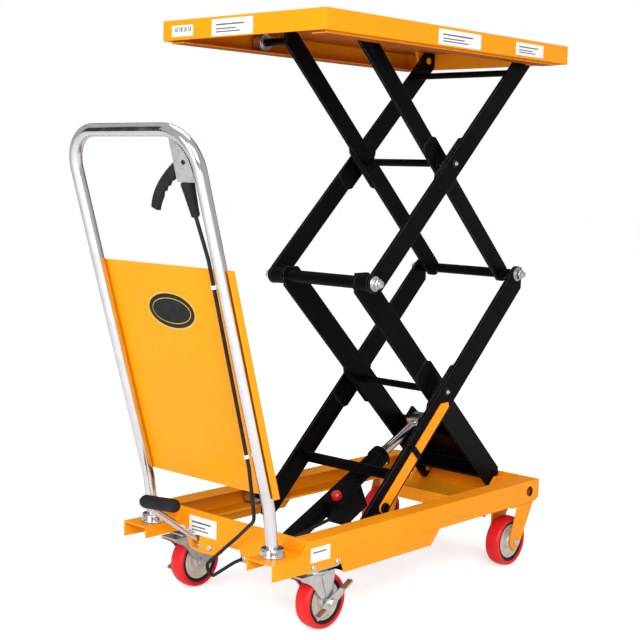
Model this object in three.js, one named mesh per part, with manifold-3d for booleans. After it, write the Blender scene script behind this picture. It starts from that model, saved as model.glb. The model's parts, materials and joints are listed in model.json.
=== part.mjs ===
// Two-stage scissor lift table on casters, raised, in millimetres with +Z up.
// The origin is on the floor under the centre of the whole table.  +X points away from the push handle.

import * as THREE from "three";
import { mergeVertices } from "three/addons/utils/BufferGeometryUtils.js";
import Module from "manifold-3d";

const wasm = await Module();
wasm.setup();

// ---------------------------------------------------------------- driving dimensions
const GAP = 0.3; // air between two pieces that touch
const RUNNING = 0.4; // extra radius of a hole that a shaft turns in

// scissor linkage: every arm has the same length, and each pair crosses at mid-length
const ARM_LENGTH = 795;
const REST_ANGLE = THREE.MathUtils.degToRad(44.2);
const LOWERED_ANGLE = THREE.MathUtils.degToRad(5.5);
const FRONT_PIN_X = 560;
const BASE_PIN_Z = 187;
const STAGE_HEIGHT = ARM_LENGTH * Math.sin(REST_ANGLE);
const REAR_PIN_X = FRONT_PIN_X - ARM_LENGTH * Math.cos(REST_ANGLE);
const CROSS_X = (FRONT_PIN_X + REAR_PIN_X) / 2;
const MID_PIN_Z = BASE_PIN_Z + STAGE_HEIGHT;
const TOP_PIN_Z = MID_PIN_Z + STAGE_HEIGHT;

// layers across the table, as distances from its centre plane
const INNER_ARM = [108, 116];
const OUTER_ARM = [152, 160];
const DOUBLER = 4;
const ROLLER_SPAN = [200, 228];
const LOWER_ROLLER_RADIUS = 22.5;
const UPPER_ROLLER_RADIUS = 21.5;
const PIN_RADIUS = 9;

// platform
const PLATFORM_X = [-293, 612];
const PLATFORM_HALF_WIDTH = 250;
const PLATFORM_TOP = 1320;
const SKIRT_DEPTH = 45;
const DECK = 2.5;

// base frame
const BASE_FRONT_X = 578;
const BASE_HALF_WIDTH = 240;
const CHANNEL_Z = [158, 214];
const CHANNEL_WEB = 4;
const CROSS_PLATE_X = [-293, -287];
const WHEEL_RADIUS = 63.5;
const WHEEL_WIDTH = 40;
const FRONT_AXLE_X = 484;
const FRONT_WHEEL_Y = 208;
const SWIVEL_X = -242;
const REAR_AXLE_X = -214;
const REAR_WHEEL_Y = 203;

// push handle, a tube bent in the shape of a U, leaning back
const TUBE_RADIUS = 13.5;
const HANDLE_Y = 192;
const HANDLE_FOOT = [-354, 187];
const HANDLE_BEND = [-369, 291];
const HANDLE_TOP = [-598, 1063];

// hydraulic cylinder
const CYLINDER_FOOT = [-133, 118];
const ROD_PIN_ALONG_ARM = 252;

const NEAR = -1;
const FAR = 1;
const SIDES = [["near", NEAR], ["far", FAR]];

// ---------------------------------------------------------------- materials
function material(color, roughness, metalness) {
  return () => new THREE.MeshStandardMaterial({ color, roughness, metalness });
}

const AMBER_PAINT = material(0xf5a81c, 0.35, 0.0);
const BLACK_PAINT = material(0x141416, 0.4, 0.1);
const CHROME = material(0xd9dadc, 0.12, 1.0);
const ZINC = material(0xb9bdbf, 0.35, 0.9);
const RED_TYRE = material(0xd8202a, 0.4, 0.0);
const BLACK_RUBBER = material(0x16161a, 0.7, 0.0);
const PALE_HUB = material(0xd9d2c0, 0.45, 0.2);

const table = new THREE.Group();

// ---------------------------------------------------------------- solids
// A closed three.js geometry becomes a manifold solid once its shared vertices are merged.
function solid(geometry) {
  geometry.deleteAttribute("normal");
  geometry.deleteAttribute("uv");
  const merged = mergeVertices(geometry, 1e-4);
  const corners = Array.from(merged.index.array);
  const kept = [];
  for (let i = 0; i < corners.length; i += 3) {
    const [a, b, c] = corners.slice(i, i + 3);
    if (a !== b && b !== c && c !== a) kept.push(a, b, c);
  }
  const mesh = new wasm.Mesh({
    numProp: 3,
    vertProperties: new Float32Array(merged.attributes.position.array),
    triVerts: new Uint32Array(kept),
  });
  return new wasm.Manifold(mesh);
}

function join(...solids) {
  return solids.reduce((sum, next) => sum.add(next));
}

function cut(body, ...tools) {
  return tools.reduce((rest, tool) => rest.subtract(tool), body);
}

function addPart(name, body, makeMaterial) {
  const result = body.getMesh();
  const geometry = new THREE.BufferGeometry();
  geometry.setAttribute("position", new THREE.BufferAttribute(result.vertProperties, 3));
  geometry.setIndex(new THREE.BufferAttribute(result.triVerts, 1));
  geometry.computeVertexNormals();
  const mesh = new THREE.Mesh(geometry, makeMaterial());
  mesh.name = name;
  table.add(mesh);
}

function sorted(a, b) {
  return a < b ? [a, b] : [b, a];
}

function box(x, y, z) {
  const [x0, x1] = sorted(...x);
  const [y0, y1] = sorted(...y);
  const [z0, z1] = sorted(...z);
  const geometry = new THREE.BoxGeometry(x1 - x0, y1 - y0, z1 - z0);
  geometry.translate((x0 + x1) / 2, (y0 + y1) / 2, (z0 + z1) / 2);
  return solid(geometry);
}

function polygon(u, v, radius, sides) {
  return Array.from({ length: sides }, (_, i) => {
    const angle = (2 * Math.PI * i) / sides;
    return [u + radius * Math.cos(angle), v + radius * Math.sin(angle)];
  });
}

function prism(points, depth) {
  const shape = new THREE.Shape(points.map(([u, v]) => new THREE.Vector2(u, v)));
  return new THREE.ExtrudeGeometry(shape, { depth, bevelEnabled: false });
}

// outline in (x, z), from y0 to y1
function plateAlongY(points, y) {
  const [y0, y1] = sorted(...y);
  const geometry = prism(points, y1 - y0);
  geometry.rotateX(Math.PI / 2);
  geometry.translate(0, y1, 0);
  return solid(geometry);
}

// outline in (y, z), from x0 to x1
function plateAlongX(points, x) {
  const [x0, x1] = sorted(...x);
  const geometry = prism(points, x1 - x0);
  geometry.applyMatrix4(new THREE.Matrix4().makeBasis(
    new THREE.Vector3(0, 1, 0), new THREE.Vector3(0, 0, 1), new THREE.Vector3(1, 0, 0)));
  geometry.translate(x0, 0, 0);
  return solid(geometry);
}

// outline in (x, y), from z0 to z1
function plateAlongZ(points, z) {
  const [z0, z1] = sorted(...z);
  const geometry = prism(points, z1 - z0);
  geometry.translate(0, 0, z0);
  return solid(geometry);
}

// A turned piece on an axis along Y through (x, z).  Its profile is a list of [radius, y].
function turnedY(x, z, profile, segments = 16) {
  const rising = profile[0][1] <= profile[profile.length - 1][1] ? profile : [...profile].reverse();
  const geometry = new THREE.LatheGeometry(rising.map(([r, y]) => new THREE.Vector2(r, y)), segments);
  geometry.translate(x, 0, z);
  return solid(geometry);
}

// A ring on an axis along Y, from a closed profile of [radius, y] that runs round its section.
function ringY(x, z, profile, segments = 24) {
  const closed = [...profile, profile[0]];
  const geometry = new THREE.LatheGeometry(closed.map(([r, y]) => new THREE.Vector2(r, y)), segments);
  geometry.translate(x, 0, z);
  return solid(geometry);
}

function rodY(x, z, radius, y, segments = 16) {
  const [y0, y1] = sorted(...y);
  return turnedY(x, z, [[0, y0], [radius, y0], [radius, y1], [0, y1]], segments);
}

// A turned piece on an axis along Z.
function turnedZ(x, y, profile, segments = 24) {
  const geometry = new THREE.LatheGeometry(profile.map(([r, z]) => new THREE.Vector2(r, z)), segments);
  geometry.rotateX(Math.PI / 2);
  geometry.translate(x, y, 0);
  return solid(geometry);
}

// A path through fixed points, so that a bar has one section at each point and none between.
class Route extends THREE.Curve {
  constructor(points) {
    super();
    this.points = points;
  }

  getPointAt(share) {
    return this.points[Math.round(share * (this.points.length - 1))].clone();
  }

  getTangentAt(share) {
    const last = this.points.length - 1;
    const i = Math.round(share * last);
    const direction = new THREE.Vector3();
    if (i > 0) direction.add(this.points[i].clone().sub(this.points[i - 1]).normalize());
    if (i < last) direction.add(this.points[i + 1].clone().sub(this.points[i]).normalize());
    return direction.normalize();
  }
}

// Straight stretches between corners, with each corner rounded by an arc.  An arc has the given
// radius, or a smaller one where the stretches beside it are too short for that.
function bentRoute(corners, widest, steps) {
  const points = corners.map((corner) => new THREE.Vector3(...corner));
  const route = [points[0]];
  for (let i = 1; i < points.length - 1; i += 1) {
    const into = points[i].clone().sub(points[i - 1]).normalize();
    const out = points[i + 1].clone().sub(points[i]).normalize();
    const turn = into.angleTo(out);
    const shorter = Math.min(points[i].distanceTo(points[i - 1]), points[i].distanceTo(points[i + 1]));
    const radius = Math.min(widest, (0.45 * shorter) / Math.tan(turn / 2));
    const start = points[i].clone().addScaledVector(into, -radius * Math.tan(turn / 2));
    const inward = out.clone().addScaledVector(into, -into.dot(out)).normalize();
    for (let k = 0; k <= steps; k += 1) {
      const angle = (turn * k) / steps;
      route.push(start.clone()
        .addScaledVector(inward, radius * (1 - Math.cos(angle)))
        .addScaledVector(into, radius * Math.sin(angle)));
    }
  }
  route.push(points[points.length - 1]);
  return new Route(route);
}

function roundBar(route, radius, sides) {
  const section = new THREE.Shape(polygon(0, 0, radius, sides).map(([u, v]) => new THREE.Vector2(u, v)));
  const steps = route.points.length - 1;
  return solid(new THREE.ExtrudeGeometry(section, { steps, extrudePath: route, bevelEnabled: false }));
}

// ---------------------------------------------------------------- outlines in the (x, z) plane
// Keeps the part of a convex outline whose points lie within a distance of a pin in one direction.
function clipAtPin(points, pin, angle, distance) {
  const normal = [Math.cos(angle), Math.sin(angle)];
  const depth = ([x, z]) => (x - pin[0]) * normal[0] + (z - pin[1]) * normal[1] - distance;
  const kept = [];
  points.forEach((point, i) => {
    const next = points[(i + 1) % points.length];
    const here = depth(point);
    const there = depth(next);
    if (here <= 0) kept.push(point);
    if (here * there < 0) {
      const share = here / (here - there);
      kept.push([point[0] + share * (next[0] - point[0]), point[1] + share * (next[1] - point[1])]);
    }
  });
  return kept;
}

// Points at a distance along and above the line from one pin to another.
function armFrame(from, to) {
  const length = Math.hypot(to[0] - from[0], to[1] - from[1]);
  const along = [(to[0] - from[0]) / length, (to[1] - from[1]) / length];
  const above = along[0] > 0 ? [-along[1], along[0]] : [along[1], -along[0]];
  const at = (s, t) => [from[0] + along[0] * s + above[0] * t, from[1] + along[1] * s + above[1] * t];
  return { length, at };
}

const BASE_FRONT = [FRONT_PIN_X, BASE_PIN_Z];
const BASE_REAR = [REAR_PIN_X, BASE_PIN_Z];
const MID_FRONT = [FRONT_PIN_X, MID_PIN_Z];
const MID_REAR = [REAR_PIN_X, MID_PIN_Z];
const TOP_FRONT = [FRONT_PIN_X, TOP_PIN_Z];
const TOP_REAR = [REAR_PIN_X, TOP_PIN_Z];
const CROSS_LOW = [CROSS_X, BASE_PIN_Z + STAGE_HEIGHT / 2];
const CROSS_HIGH = [CROSS_X, MID_PIN_Z + STAGE_HEIGHT / 2];

const SWING = REST_ANGLE - LOWERED_ANGLE;
const DECK_CLEARANCE = PLATFORM_TOP - DECK - TOP_PIN_Z - 0.8;
const FRONT_CLEARANCE = BASE_FRONT_X - FRONT_PIN_X - 1.5;
const END_REACH = 48; // how far the uncut strip runs past its end pins
const END_CUT = 27; // upright cut past each end pin
const END_ROUND = 21; // radius of the round end at a middle pin

// Trims an arm's end at every angle that it turns through past a flat obstacle near its pin.
function clipThroughSwing(points, pin, angle, turn, distance) {
  let outline = points;
  for (let i = 0; i <= 3; i += 1) {
    outline = clipAtPin(outline, pin, angle + (turn * i) / 3, distance);
  }
  return outline;
}

// The strip from pin to pin with upright end cuts, rounded off where an end passes close to the
// platform deck or to the front plate of the base.
function armOutline(from, to, shape) {
  const { below, over, ends = [END_CUT, END_CUT], foot = END_CUT, head = END_CUT } = shape;
  const { length, at } = armFrame(from, to);
  let outline = [at(-END_REACH, -below), at(length + END_REACH, -below),
    at(length + END_REACH, over), at(-END_REACH, over)];
  if (to[0] < from[0]) outline.reverse();
  const forward = to[0] > from[0] ? 1 : -1;
  outline = clipAtPin(outline, from, forward > 0 ? Math.PI : 0, ends[0]);
  outline = clipAtPin(outline, to, forward > 0 ? 0 : Math.PI, ends[1]);
  outline = clipAtPin(outline, from, -Math.PI / 2, foot);
  if (shape.behindFrontPlate) outline = clipThroughSwing(outline, from, 0, -SWING, FRONT_CLEARANCE);
  if (shape.underDeck) return clipThroughSwing(outline, to, Math.PI / 2, forward * SWING, DECK_CLEARANCE);
  return clipAtPin(outline, to, Math.PI / 2, head);
}

const DOUBLER_HALF = 75;
const DOUBLER_LIP = 5;

// A reinforcing plate at the crossing, a little wider than its arm, with stepped ends.
function doublerOutline(from, to, { below, over }) {
  const { length, at } = armFrame(from, to);
  const mid = length / 2;
  const step = 14;
  const outline = [
    at(mid - DOUBLER_HALF, -below + DOUBLER_LIP), at(mid - DOUBLER_HALF + step, -below - DOUBLER_LIP),
    at(mid + DOUBLER_HALF - step, -below - DOUBLER_LIP), at(mid + DOUBLER_HALF, -below + DOUBLER_LIP),
    at(mid + DOUBLER_HALF, over - DOUBLER_LIP), at(mid + DOUBLER_HALF - step, over + DOUBLER_LIP),
    at(mid - DOUBLER_HALF + step, over + DOUBLER_LIP), at(mid - DOUBLER_HALF, over - DOUBLER_LIP)];
  return to[0] < from[0] ? outline.reverse() : outline;
}

const LOWER_INNER = { below: 25.5, over: 37.5, ends: [15, 12], foot: 24, head: 22, behindFrontPlate: true };
const LOWER_OUTER = { below: 40, over: 21, ends: [END_CUT, 20], foot: 37, head: 17 };
const UPPER_OUTER = { below: 31, over: 21.5, ends: [10, END_CUT], foot: 19, underDeck: true };
const UPPER_INNER = { below: 26, over: 21.5, ends: [14, END_CUT], foot: 19, underDeck: true };

function onSide(side, [near, far]) {
  return [side * near, side * far];
}

// ---------------------------------------------------------------- scissor arms
// A strip with a round end at its middle pin, a doubler at the crossing and a hole at each pin.
function arm(side, layer, from, to, shape, doublerLayer, holes) {
  const strip = plateAlongY(armOutline(from, to, shape), onSide(side, layer));
  const middle = from[1] === MID_PIN_Z ? from : to;
  const plate = join(strip, rodY(middle[0], middle[1], END_ROUND, onSide(side, layer), 24));
  const doubler = plateAlongY(doublerOutline(from, to, shape), onSide(side, doublerLayer));
  const drills = holes.map(([pin, radius]) => rodY(pin[0], pin[1], radius, onSide(side, [90, 180]), 16));
  return cut(join(plate, doubler), ...drills);
}

const INNER_DOUBLER = [INNER_ARM[1] - 1, INNER_ARM[1] + DOUBLER];
const OUTER_DOUBLER = [OUTER_ARM[0] - DOUBLER, OUTER_ARM[0] + 1];
const PIN_HOLE = PIN_RADIUS + RUNNING;
const BASE_PIVOT_RADIUS = 7.5;
const MID_TUBE_RADIUS = 15;
const FRONT_ROD_RADIUS = 12.5;
const TUBE_SPIGOT = 12;

function stubAxle(side, pin, inner) {
  return rodY(pin[0], pin[1], PIN_RADIUS, onSide(side, [inner, ROLLER_SPAN[1] + 2]), 16);
}

const STRAP_ALONG = 218;
const PROP_LAYER = [OUTER_ARM[1] + 1, OUTER_ARM[1] + 6];
const PROP_LINE = -16;
const PROP_HALF_WIDTH = 14;

// The strap that parks the safety prop: open on its lower side so that the prop swings out.
function propStrap() {
  const { at } = armFrame(BASE_REAR, MID_FRONT);
  const top = PROP_LINE + PROP_HALF_WIDTH + 1.5;
  const bottom = PROP_LINE - PROP_HALF_WIDTH;
  const strip = (t0, t1, y) => plateAlongY(
    [at(STRAP_ALONG - 8, t0), at(STRAP_ALONG + 8, t0), at(STRAP_ALONG + 8, t1), at(STRAP_ALONG - 8, t1)],
    onSide(NEAR, y));
  return join(
    strip(top, top + 3, [OUTER_ARM[1] - 1, PROP_LAYER[1] + 3]),
    strip(bottom, top + 3, [PROP_LAYER[1] + 1, PROP_LAYER[1] + 3]));
}

function addLowerInnerArms() {
  for (const [label, side] of SIDES) {
    const holes = [[BASE_FRONT, BASE_PIVOT_RADIUS + RUNNING], [CROSS_LOW, PIN_HOLE],
      [MID_REAR, TUBE_SPIGOT + RUNNING]];
    addPart(`lower_inner_arm_${label}`,
      arm(side, INNER_ARM, BASE_FRONT, MID_REAR, LOWER_INNER, INNER_DOUBLER, holes), BLACK_PAINT);
  }
}

function addLowerOuterArms() {
  for (const [label, side] of SIDES) {
    const holes = [[CROSS_LOW, PIN_HOLE], [MID_FRONT, PIN_HOLE]];
    let body = arm(side, OUTER_ARM, BASE_REAR, MID_FRONT, LOWER_OUTER, OUTER_DOUBLER, holes);
    body = join(body, stubAxle(side, BASE_REAR, OUTER_ARM[1] - 1));
    if (side === NEAR) body = join(body, propStrap(), propPivotBoss());
    addPart(`lower_outer_arm_${label}`, body, BLACK_PAINT);
  }
}

function addUpperOuterArms() {
  for (const [label, side] of SIDES) {
    const holes = [[MID_REAR, PIN_HOLE], [CROSS_HIGH, PIN_HOLE], [TOP_FRONT, PIN_HOLE]];
    addPart(`upper_outer_arm_${label}`,
      arm(side, OUTER_ARM, MID_REAR, TOP_FRONT, UPPER_OUTER, OUTER_DOUBLER, holes), BLACK_PAINT);
  }
}

function addUpperInnerArms() {
  for (const [label, side] of SIDES) {
    const holes = [[MID_FRONT, PIN_HOLE], [CROSS_HIGH, PIN_HOLE]];
    const body = arm(side, INNER_ARM, MID_FRONT, TOP_REAR, UPPER_INNER, INNER_DOUBLER, holes);
    addPart(`upper_inner_arm_${label}`, join(body, stubAxle(side, TOP_REAR, INNER_ARM[1] - 1)), BLACK_PAINT);
  }
}

// ---------------------------------------------------------------- safety prop
const PROP_PIVOT_ALONG = 57;
const PROP_END_ALONG = 376;
const PROP_PIVOT_RADIUS = 8;

function propPivot() {
  return armFrame(BASE_REAR, MID_FRONT).at(PROP_PIVOT_ALONG, PROP_LINE);
}

function propPivotBoss() {
  const [x, z] = propPivot();
  const shaft = [[0, OUTER_ARM[1] - 1], [PROP_PIVOT_RADIUS, OUTER_ARM[1] - 1],
    [PROP_PIVOT_RADIUS, PROP_LAYER[1] + 0.6], [11, PROP_LAYER[1] + 0.6], [11, PROP_LAYER[1] + 6],
    [0, PROP_LAYER[1] + 6]];
  return turnedY(x, z, shaft.map(([r, y]) => [r, NEAR * y]), 20);
}

function addProp() {
  const { at } = armFrame(BASE_REAR, MID_FRONT);
  const line = (s, t) => at(s, PROP_LINE + t);
  const outline = [];
  const roundSteps = 6;
  for (let i = 0; i <= roundSteps; i += 1) {
    const angle = Math.PI / 2 + (Math.PI * i) / roundSteps;
    outline.push(line(PROP_PIVOT_ALONG + PROP_HALF_WIDTH * Math.cos(angle), PROP_HALF_WIDTH * Math.sin(angle)));
  }
  outline.push(line(PROP_END_ALONG, -PROP_HALF_WIDTH));
  outline.push(line(PROP_END_ALONG + 6, -4));
  outline.push(line(PROP_END_ALONG - 14, PROP_HALF_WIDTH));
  const [x, z] = propPivot();
  const hole = rodY(x, z, PROP_PIVOT_RADIUS + RUNNING, onSide(NEAR, [150, 190]), 20);
  addPart("safety_prop", cut(plateAlongY(outline, onSide(NEAR, PROP_LAYER)), hole), AMBER_PAINT);
}

// ---------------------------------------------------------------- cross members of the scissor
// A shaft through all four arms at a crossing, with a spacer bush between each pair.
function addCrossShaft(name, pin) {
  const bush = [INNER_ARM[1] + DOUBLER + GAP, OUTER_ARM[0] - DOUBLER - GAP];
  const end = OUTER_ARM[1] + 3;
  const half = [[PIN_RADIUS, bush[0]], [20, bush[0]], [20, bush[1]], [PIN_RADIUS, bush[1]],
    [PIN_RADIUS, end], [0, end]];
  const mirrored = [...half].reverse().map(([r, y]) => [r, -y]);
  addPart(name, turnedY(pin[0], pin[1], [...mirrored, ...half]), BLACK_PAINT);
}

// A washer, a hexagon nut and the end of the bolt, outside the outer arm.
function pivotNut(side, pin) {
  const y = OUTER_ARM[1] + GAP;
  const washer = rodY(pin[0], pin[1], 16, onSide(side, [y, y + 3]), 20);
  const hexagon = rodY(pin[0], pin[1], 13, onSide(side, [y + 2, y + 14]), 6);
  const boltEnd = rodY(pin[0], pin[1], 7, onSide(side, [y - 4, y + 22]), 12);
  return join(washer, hexagon, boltEnd);
}

// A rod or tube across the table at the middle pins, with a boss between each pair of arms.
function addMidRod(name, pin, tube, neck, boss) {
  const half = [[tube, INNER_ARM[0] - GAP], [neck, INNER_ARM[0] - GAP], [neck, INNER_ARM[1] + GAP],
    [boss, INNER_ARM[1] + GAP], [boss, OUTER_ARM[0] - GAP], [PIN_RADIUS, OUTER_ARM[0] - GAP],
    [PIN_RADIUS, OUTER_ARM[1] + 1], [0, OUTER_ARM[1] + 1]];
  const mirrored = [...half].reverse().map(([r, y]) => [r, -y]);
  const rod = turnedY(pin[0], pin[1], [...mirrored, ...half]);
  addPart(name, join(rod, pivotNut(NEAR, pin), pivotNut(FAR, pin)), BLACK_PAINT);
}

const FLAT_BAR_ALONG = 146;
const FLAT_BAR_LINE = -14;

// A flat bar that ties the two lower outer arms together, standing across their line.
function addLowerTieBar() {
  const { at } = armFrame(BASE_REAR, MID_FRONT);
  const centre = at(FLAT_BAR_ALONG, FLAT_BAR_LINE);
  const reach = OUTER_ARM[0] - GAP;
  const bar = box([centre[0] - 4, centre[0] + 4], [-reach, reach], [centre[1] - 13, centre[1] + 13]);
  addPart("lower_tie_bar", bar, BLACK_PAINT);
}

function addUpperTieBar() {
  const { at } = armFrame(MID_REAR, TOP_FRONT);
  const [x, z] = at(ARM_LENGTH - 76, 9);
  addPart("upper_tie_bar", rodY(x, z, 8, [-(OUTER_ARM[0] - GAP), OUTER_ARM[0] - GAP], 16), BLACK_PAINT);
}

const ROD_EYE_HALF = 18;

// The plate across the lower inner arms, with two cheeks that take the end of the cylinder rod.
function addTorsionPlate() {
  const { at } = armFrame(BASE_FRONT, MID_REAR);
  const reach = INNER_ARM[0] - GAP;
  const bar = (s0, s1, t0, t1) => [at(s0, t0), at(s0, t1), at(s1, t1), at(s1, t0)];
  const plate = plateAlongY(bar(34, 205, 26, 32), [-reach, reach]);
  const turnedEdge = plateAlongY(bar(34, 40, -16, 32), [-reach, reach]);
  const pieces = [plate, turnedEdge];
  for (const side of [NEAR, FAR]) {
    const y = onSide(side, [ROD_EYE_HALF + 3, ROD_EYE_HALF + 11]);
    pieces.push(plateAlongY(
      [at(150, 32), at(ROD_PIN_ALONG_ARM + 22, 20), at(ROD_PIN_ALONG_ARM + 22, -18),
        at(ROD_PIN_ALONG_ARM - 22, -18), at(150, 20)], y));
    const pin = at(ROD_PIN_ALONG_ARM, 0);
    pieces.push(rodY(pin[0], pin[1], PIN_RADIUS, onSide(side, [ROD_EYE_HALF + 1, ROD_EYE_HALF + 16]), 16));
  }
  addPart("torsion_plate", join(...pieces), BLACK_PAINT);
}

// ---------------------------------------------------------------- rollers
function addRoller(name, side, pin, rim) {
  const bore = PIN_RADIUS + RUNNING;
  const [y0, y1] = sorted(...onSide(side, ROLLER_SPAN));
  const section = [[bore, y0], [rim - 2, y0], [rim, y0 + 2], [rim, y1 - 2], [rim - 2, y1], [bore, y1]];
  addPart(name, ringY(pin[0], pin[1], section, 18), ZINC);
}

// ---------------------------------------------------------------- platform
const RAIL_X = [-278, 574];
const RAIL_Z = [1270, PLATFORM_TOP - DECK - GAP];

function addPlatform() {
  const half = PLATFORM_HALF_WIDTH;
  const wall = 3;
  const bottom = PLATFORM_TOP - SKIRT_DEPTH;
  const outer = box(PLATFORM_X, [-half, half], [bottom, PLATFORM_TOP]);
  const inner = box([PLATFORM_X[0] + wall, PLATFORM_X[1] - wall], [-half + wall, half - wall],
    [bottom - 1, PLATFORM_TOP - DECK]);
  addPart("platform_deck", cut(outer, inner), AMBER_PAINT);
  for (const [label, side] of SIDES) {
    const web = box(RAIL_X, onSide(side, [234, 238]), RAIL_Z);
    const foot = box(RAIL_X, onSide(side, [196, 238]), [RAIL_Z[0], RAIL_Z[0] + 3.5]);
    const cap = box([RAIL_X[1] - 3, RAIL_X[1]], onSide(side, [196, 238]), RAIL_Z);
    addPart(`platform_rail_${label}`, join(web, foot, cap), AMBER_PAINT);
    addPlatformLug(label, side);
  }
}

function addPlatformLug(label, side) {
  const [x, z] = TOP_FRONT;
  const top = RAIL_Z[1];
  const outline = [[x - 34, top], [x - 20, z - 16], [x - 9, z - 24], [x + 9, z - 24], [x + 20, z - 16],
    [x + 34, top]];
  const plate = plateAlongY(outline, onSide(side, [165, 173]));
  const pivot = rodY(x, z, PIN_RADIUS, onSide(side, [OUTER_ARM[0] - 2, 170]), 20);
  addPart(`platform_lug_${label}`, join(plate, pivot), AMBER_PAINT);
}

// ---------------------------------------------------------------- base frame
const SKIRT_X = [-179, 129];
const SKIRT_BOTTOM = 124;
const TRACK_TOP = 164;
const CORNER_BOTTOM = 146;
const WING_REAR_X = -402;
const WING_TOP = 185;
const WING_Y = [162, BASE_HALF_WIDTH];
const ACCESS_HOLE_X = 540;
const AXLE_RADIUS = 6;

function addSideChannel(label, side) {
  const [bottom, top] = CHANNEL_Z;
  const [skirtRear, skirtFront] = SKIRT_X;
  const rear = CROSS_PLATE_X[0];
  const front = BASE_FRONT_X;
  const web = plateAlongY([
    [rear, CORNER_BOTTOM], [skirtRear - 8, CORNER_BOTTOM], [skirtRear, SKIRT_BOTTOM],
    [skirtFront, SKIRT_BOTTOM], [skirtFront + 33, bottom], [front - 8, bottom], [front, bottom + 8],
    [front, top], [rear, top]],
  onSide(side, [BASE_HALF_WIDTH - CHANNEL_WEB, BASE_HALF_WIDTH]));
  const flangeY = onSide(side, [192, BASE_HALF_WIDTH - 3]);
  const flangeRear = CROSS_PLATE_X[1] + GAP;
  const topFlange = box([flangeRear, front], flangeY, [top - 4, top]);
  const track = box([flangeRear + 28, front - 12], flangeY, [bottom, TRACK_TOP]);
  const access = rodY(ACCESS_HOLE_X, BASE_PIN_Z, 12.5, onSide(side, [230, 250]), 20);
  addPart(`base_channel_${label}`, cut(join(web, topFlange, track), access), AMBER_PAINT);
}

// The housing behind each rear corner: a folded plate, open at the rear, that carries a handle leg.
function addRearCorner(label, side) {
  const rear = WING_REAR_X;
  const front = CROSS_PLATE_X[0] - GAP;
  const [y0, y1] = onSide(side, WING_Y);
  const wall = side * 4;
  const roof = box([rear, front], [y0, y1], [WING_TOP - 4, WING_TOP]);
  const outerWall = plateAlongY([[rear, 149], [front, CORNER_BOTTOM], [front, CHANNEL_Z[1]],
    [front - 26, WING_TOP], [rear, WING_TOP]], [y1 - wall, y1]);
  const innerWall = plateAlongY([[rear, 158], [front, 158], [front, 200], [front - 16, WING_TOP],
    [rear, WING_TOP]], [y0, y0 + wall]);
  addPart(`rear_corner_${label}`, join(roof, outerWall, innerWall), AMBER_PAINT);
}

const PEDAL_Y = 113;
const PEDAL_PIVOT = [-268, 134];
const PEDAL_SLOT = { y: [PEDAL_Y - 11, PEDAL_Y + 15], z: [125, 163] };
const CABLE_RADIUS = 4;
const CABLE_ENTRY = [-46, 135.6]; // where the release cable passes through the cross plate

// Two ears on the front of the cross plate, with the pin the pedal turns on.
function pedalBracket() {
  const [x, z] = PEDAL_PIVOT;
  const ears = [-1, 1].map((s) => box([CROSS_PLATE_X[1] - 1, x + 12],
    [PEDAL_Y + s * 17, PEDAL_Y + s * 22], [z - 10, z + 12]));
  const pin = rodY(x, z, 5, [PEDAL_Y - 20, PEDAL_Y + 20], 12);
  return join(...ears, pin);
}

function addRearCrossPlate() {
  const reach = BASE_HALF_WIDTH - CHANNEL_WEB - GAP;
  const plate = plateAlongX([
    [-reach, 158], [-60, 141], [-56, 125], [-36, 125], [-30, 150], [22, 150], [32, 128], [52, 120],
    [108, 118], [134, 124], [150, 158], [reach, 158], [reach, CHANNEL_Z[1]], [-reach, CHANNEL_Z[1]]],
  CROSS_PLATE_X);
  const through = [CROSS_PLATE_X[0] - 5, CROSS_PLATE_X[1] + 5];
  const slot = box(through, PEDAL_SLOT.y, PEDAL_SLOT.z);
  const entry = plateAlongX(polygon(...CABLE_ENTRY, CABLE_RADIUS + GAP, 8), through);
  addPart("rear_cross_plate", join(cut(plate, slot, entry), pedalBracket()), AMBER_PAINT);
}

function addFrontCrossMember() {
  const capX = [BASE_FRONT_X + GAP, BASE_FRONT_X + GAP + 4];
  const half = BASE_HALF_WIDTH;
  const endPlate = plateAlongX([[-half, CHANNEL_Z[0] + 8], [-half + 8, CHANNEL_Z[0]],
    [half - 8, CHANNEL_Z[0]], [half, CHANNEL_Z[0] + 8], [half, CHANNEL_Z[1]], [-half, CHANNEL_Z[1]]], capX);
  const reach = 175;
  const top = box([438, capX[0] + 1], [-reach, reach], [154, 158]);
  const rearLip = box([438, 442], [-reach, reach], [124, 158]);
  const frontLip = box([538, 542], [-reach, reach], [124, 158]);
  const pieces = [endPlate, top, rearLip, frontLip];
  for (const side of [NEAR, FAR]) {
    const y = onSide(side, [121, 129]);
    const [x, z] = BASE_FRONT;
    pieces.push(plateAlongY([[x - 60, 156], [x + 19, 156], [x + 19, z + 8], [x + 12, z + 17],
      [x - 12, z + 17], [x - 22, z + 8]], y));
    pieces.push(rodY(x, z, BASE_PIVOT_RADIUS, onSide(side, [106, 125]), 20));
  }
  addPart("front_cross_member", join(...pieces), AMBER_PAINT);
}

function addFrontFork(label, side) {
  const x = FRONT_AXLE_X;
  const z = WHEEL_RADIUS;
  const top = CHANNEL_Z[0] - GAP;
  const leg = [[x - 22, z + 6], [x - 18, z - 9], [x - 8, z - 18], [x + 8, z - 18], [x + 18, z - 7]];
  const outerPlate = plateAlongY([[x + 6, top], ...leg, [x + 74, top]], onSide(side, [236, 240]));
  const innerPlate = plateAlongY([[x - 20, top], ...leg, [x + 58, top]], onSide(side, [176, 180]));
  const roof = box([x - 20, x + 58], onSide(side, [176, 240]), [top - 4, top]);
  const axle = rodY(x, z, AXLE_RADIUS, onSide(side, [173, 243]), 16);
  const head = rodY(x, z, 10, onSide(side, [239, 244]), 6);
  addPart(`front_fork_${label}`, join(outerPlate, innerPlate, roof, axle, head), AMBER_PAINT);
}

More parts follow.
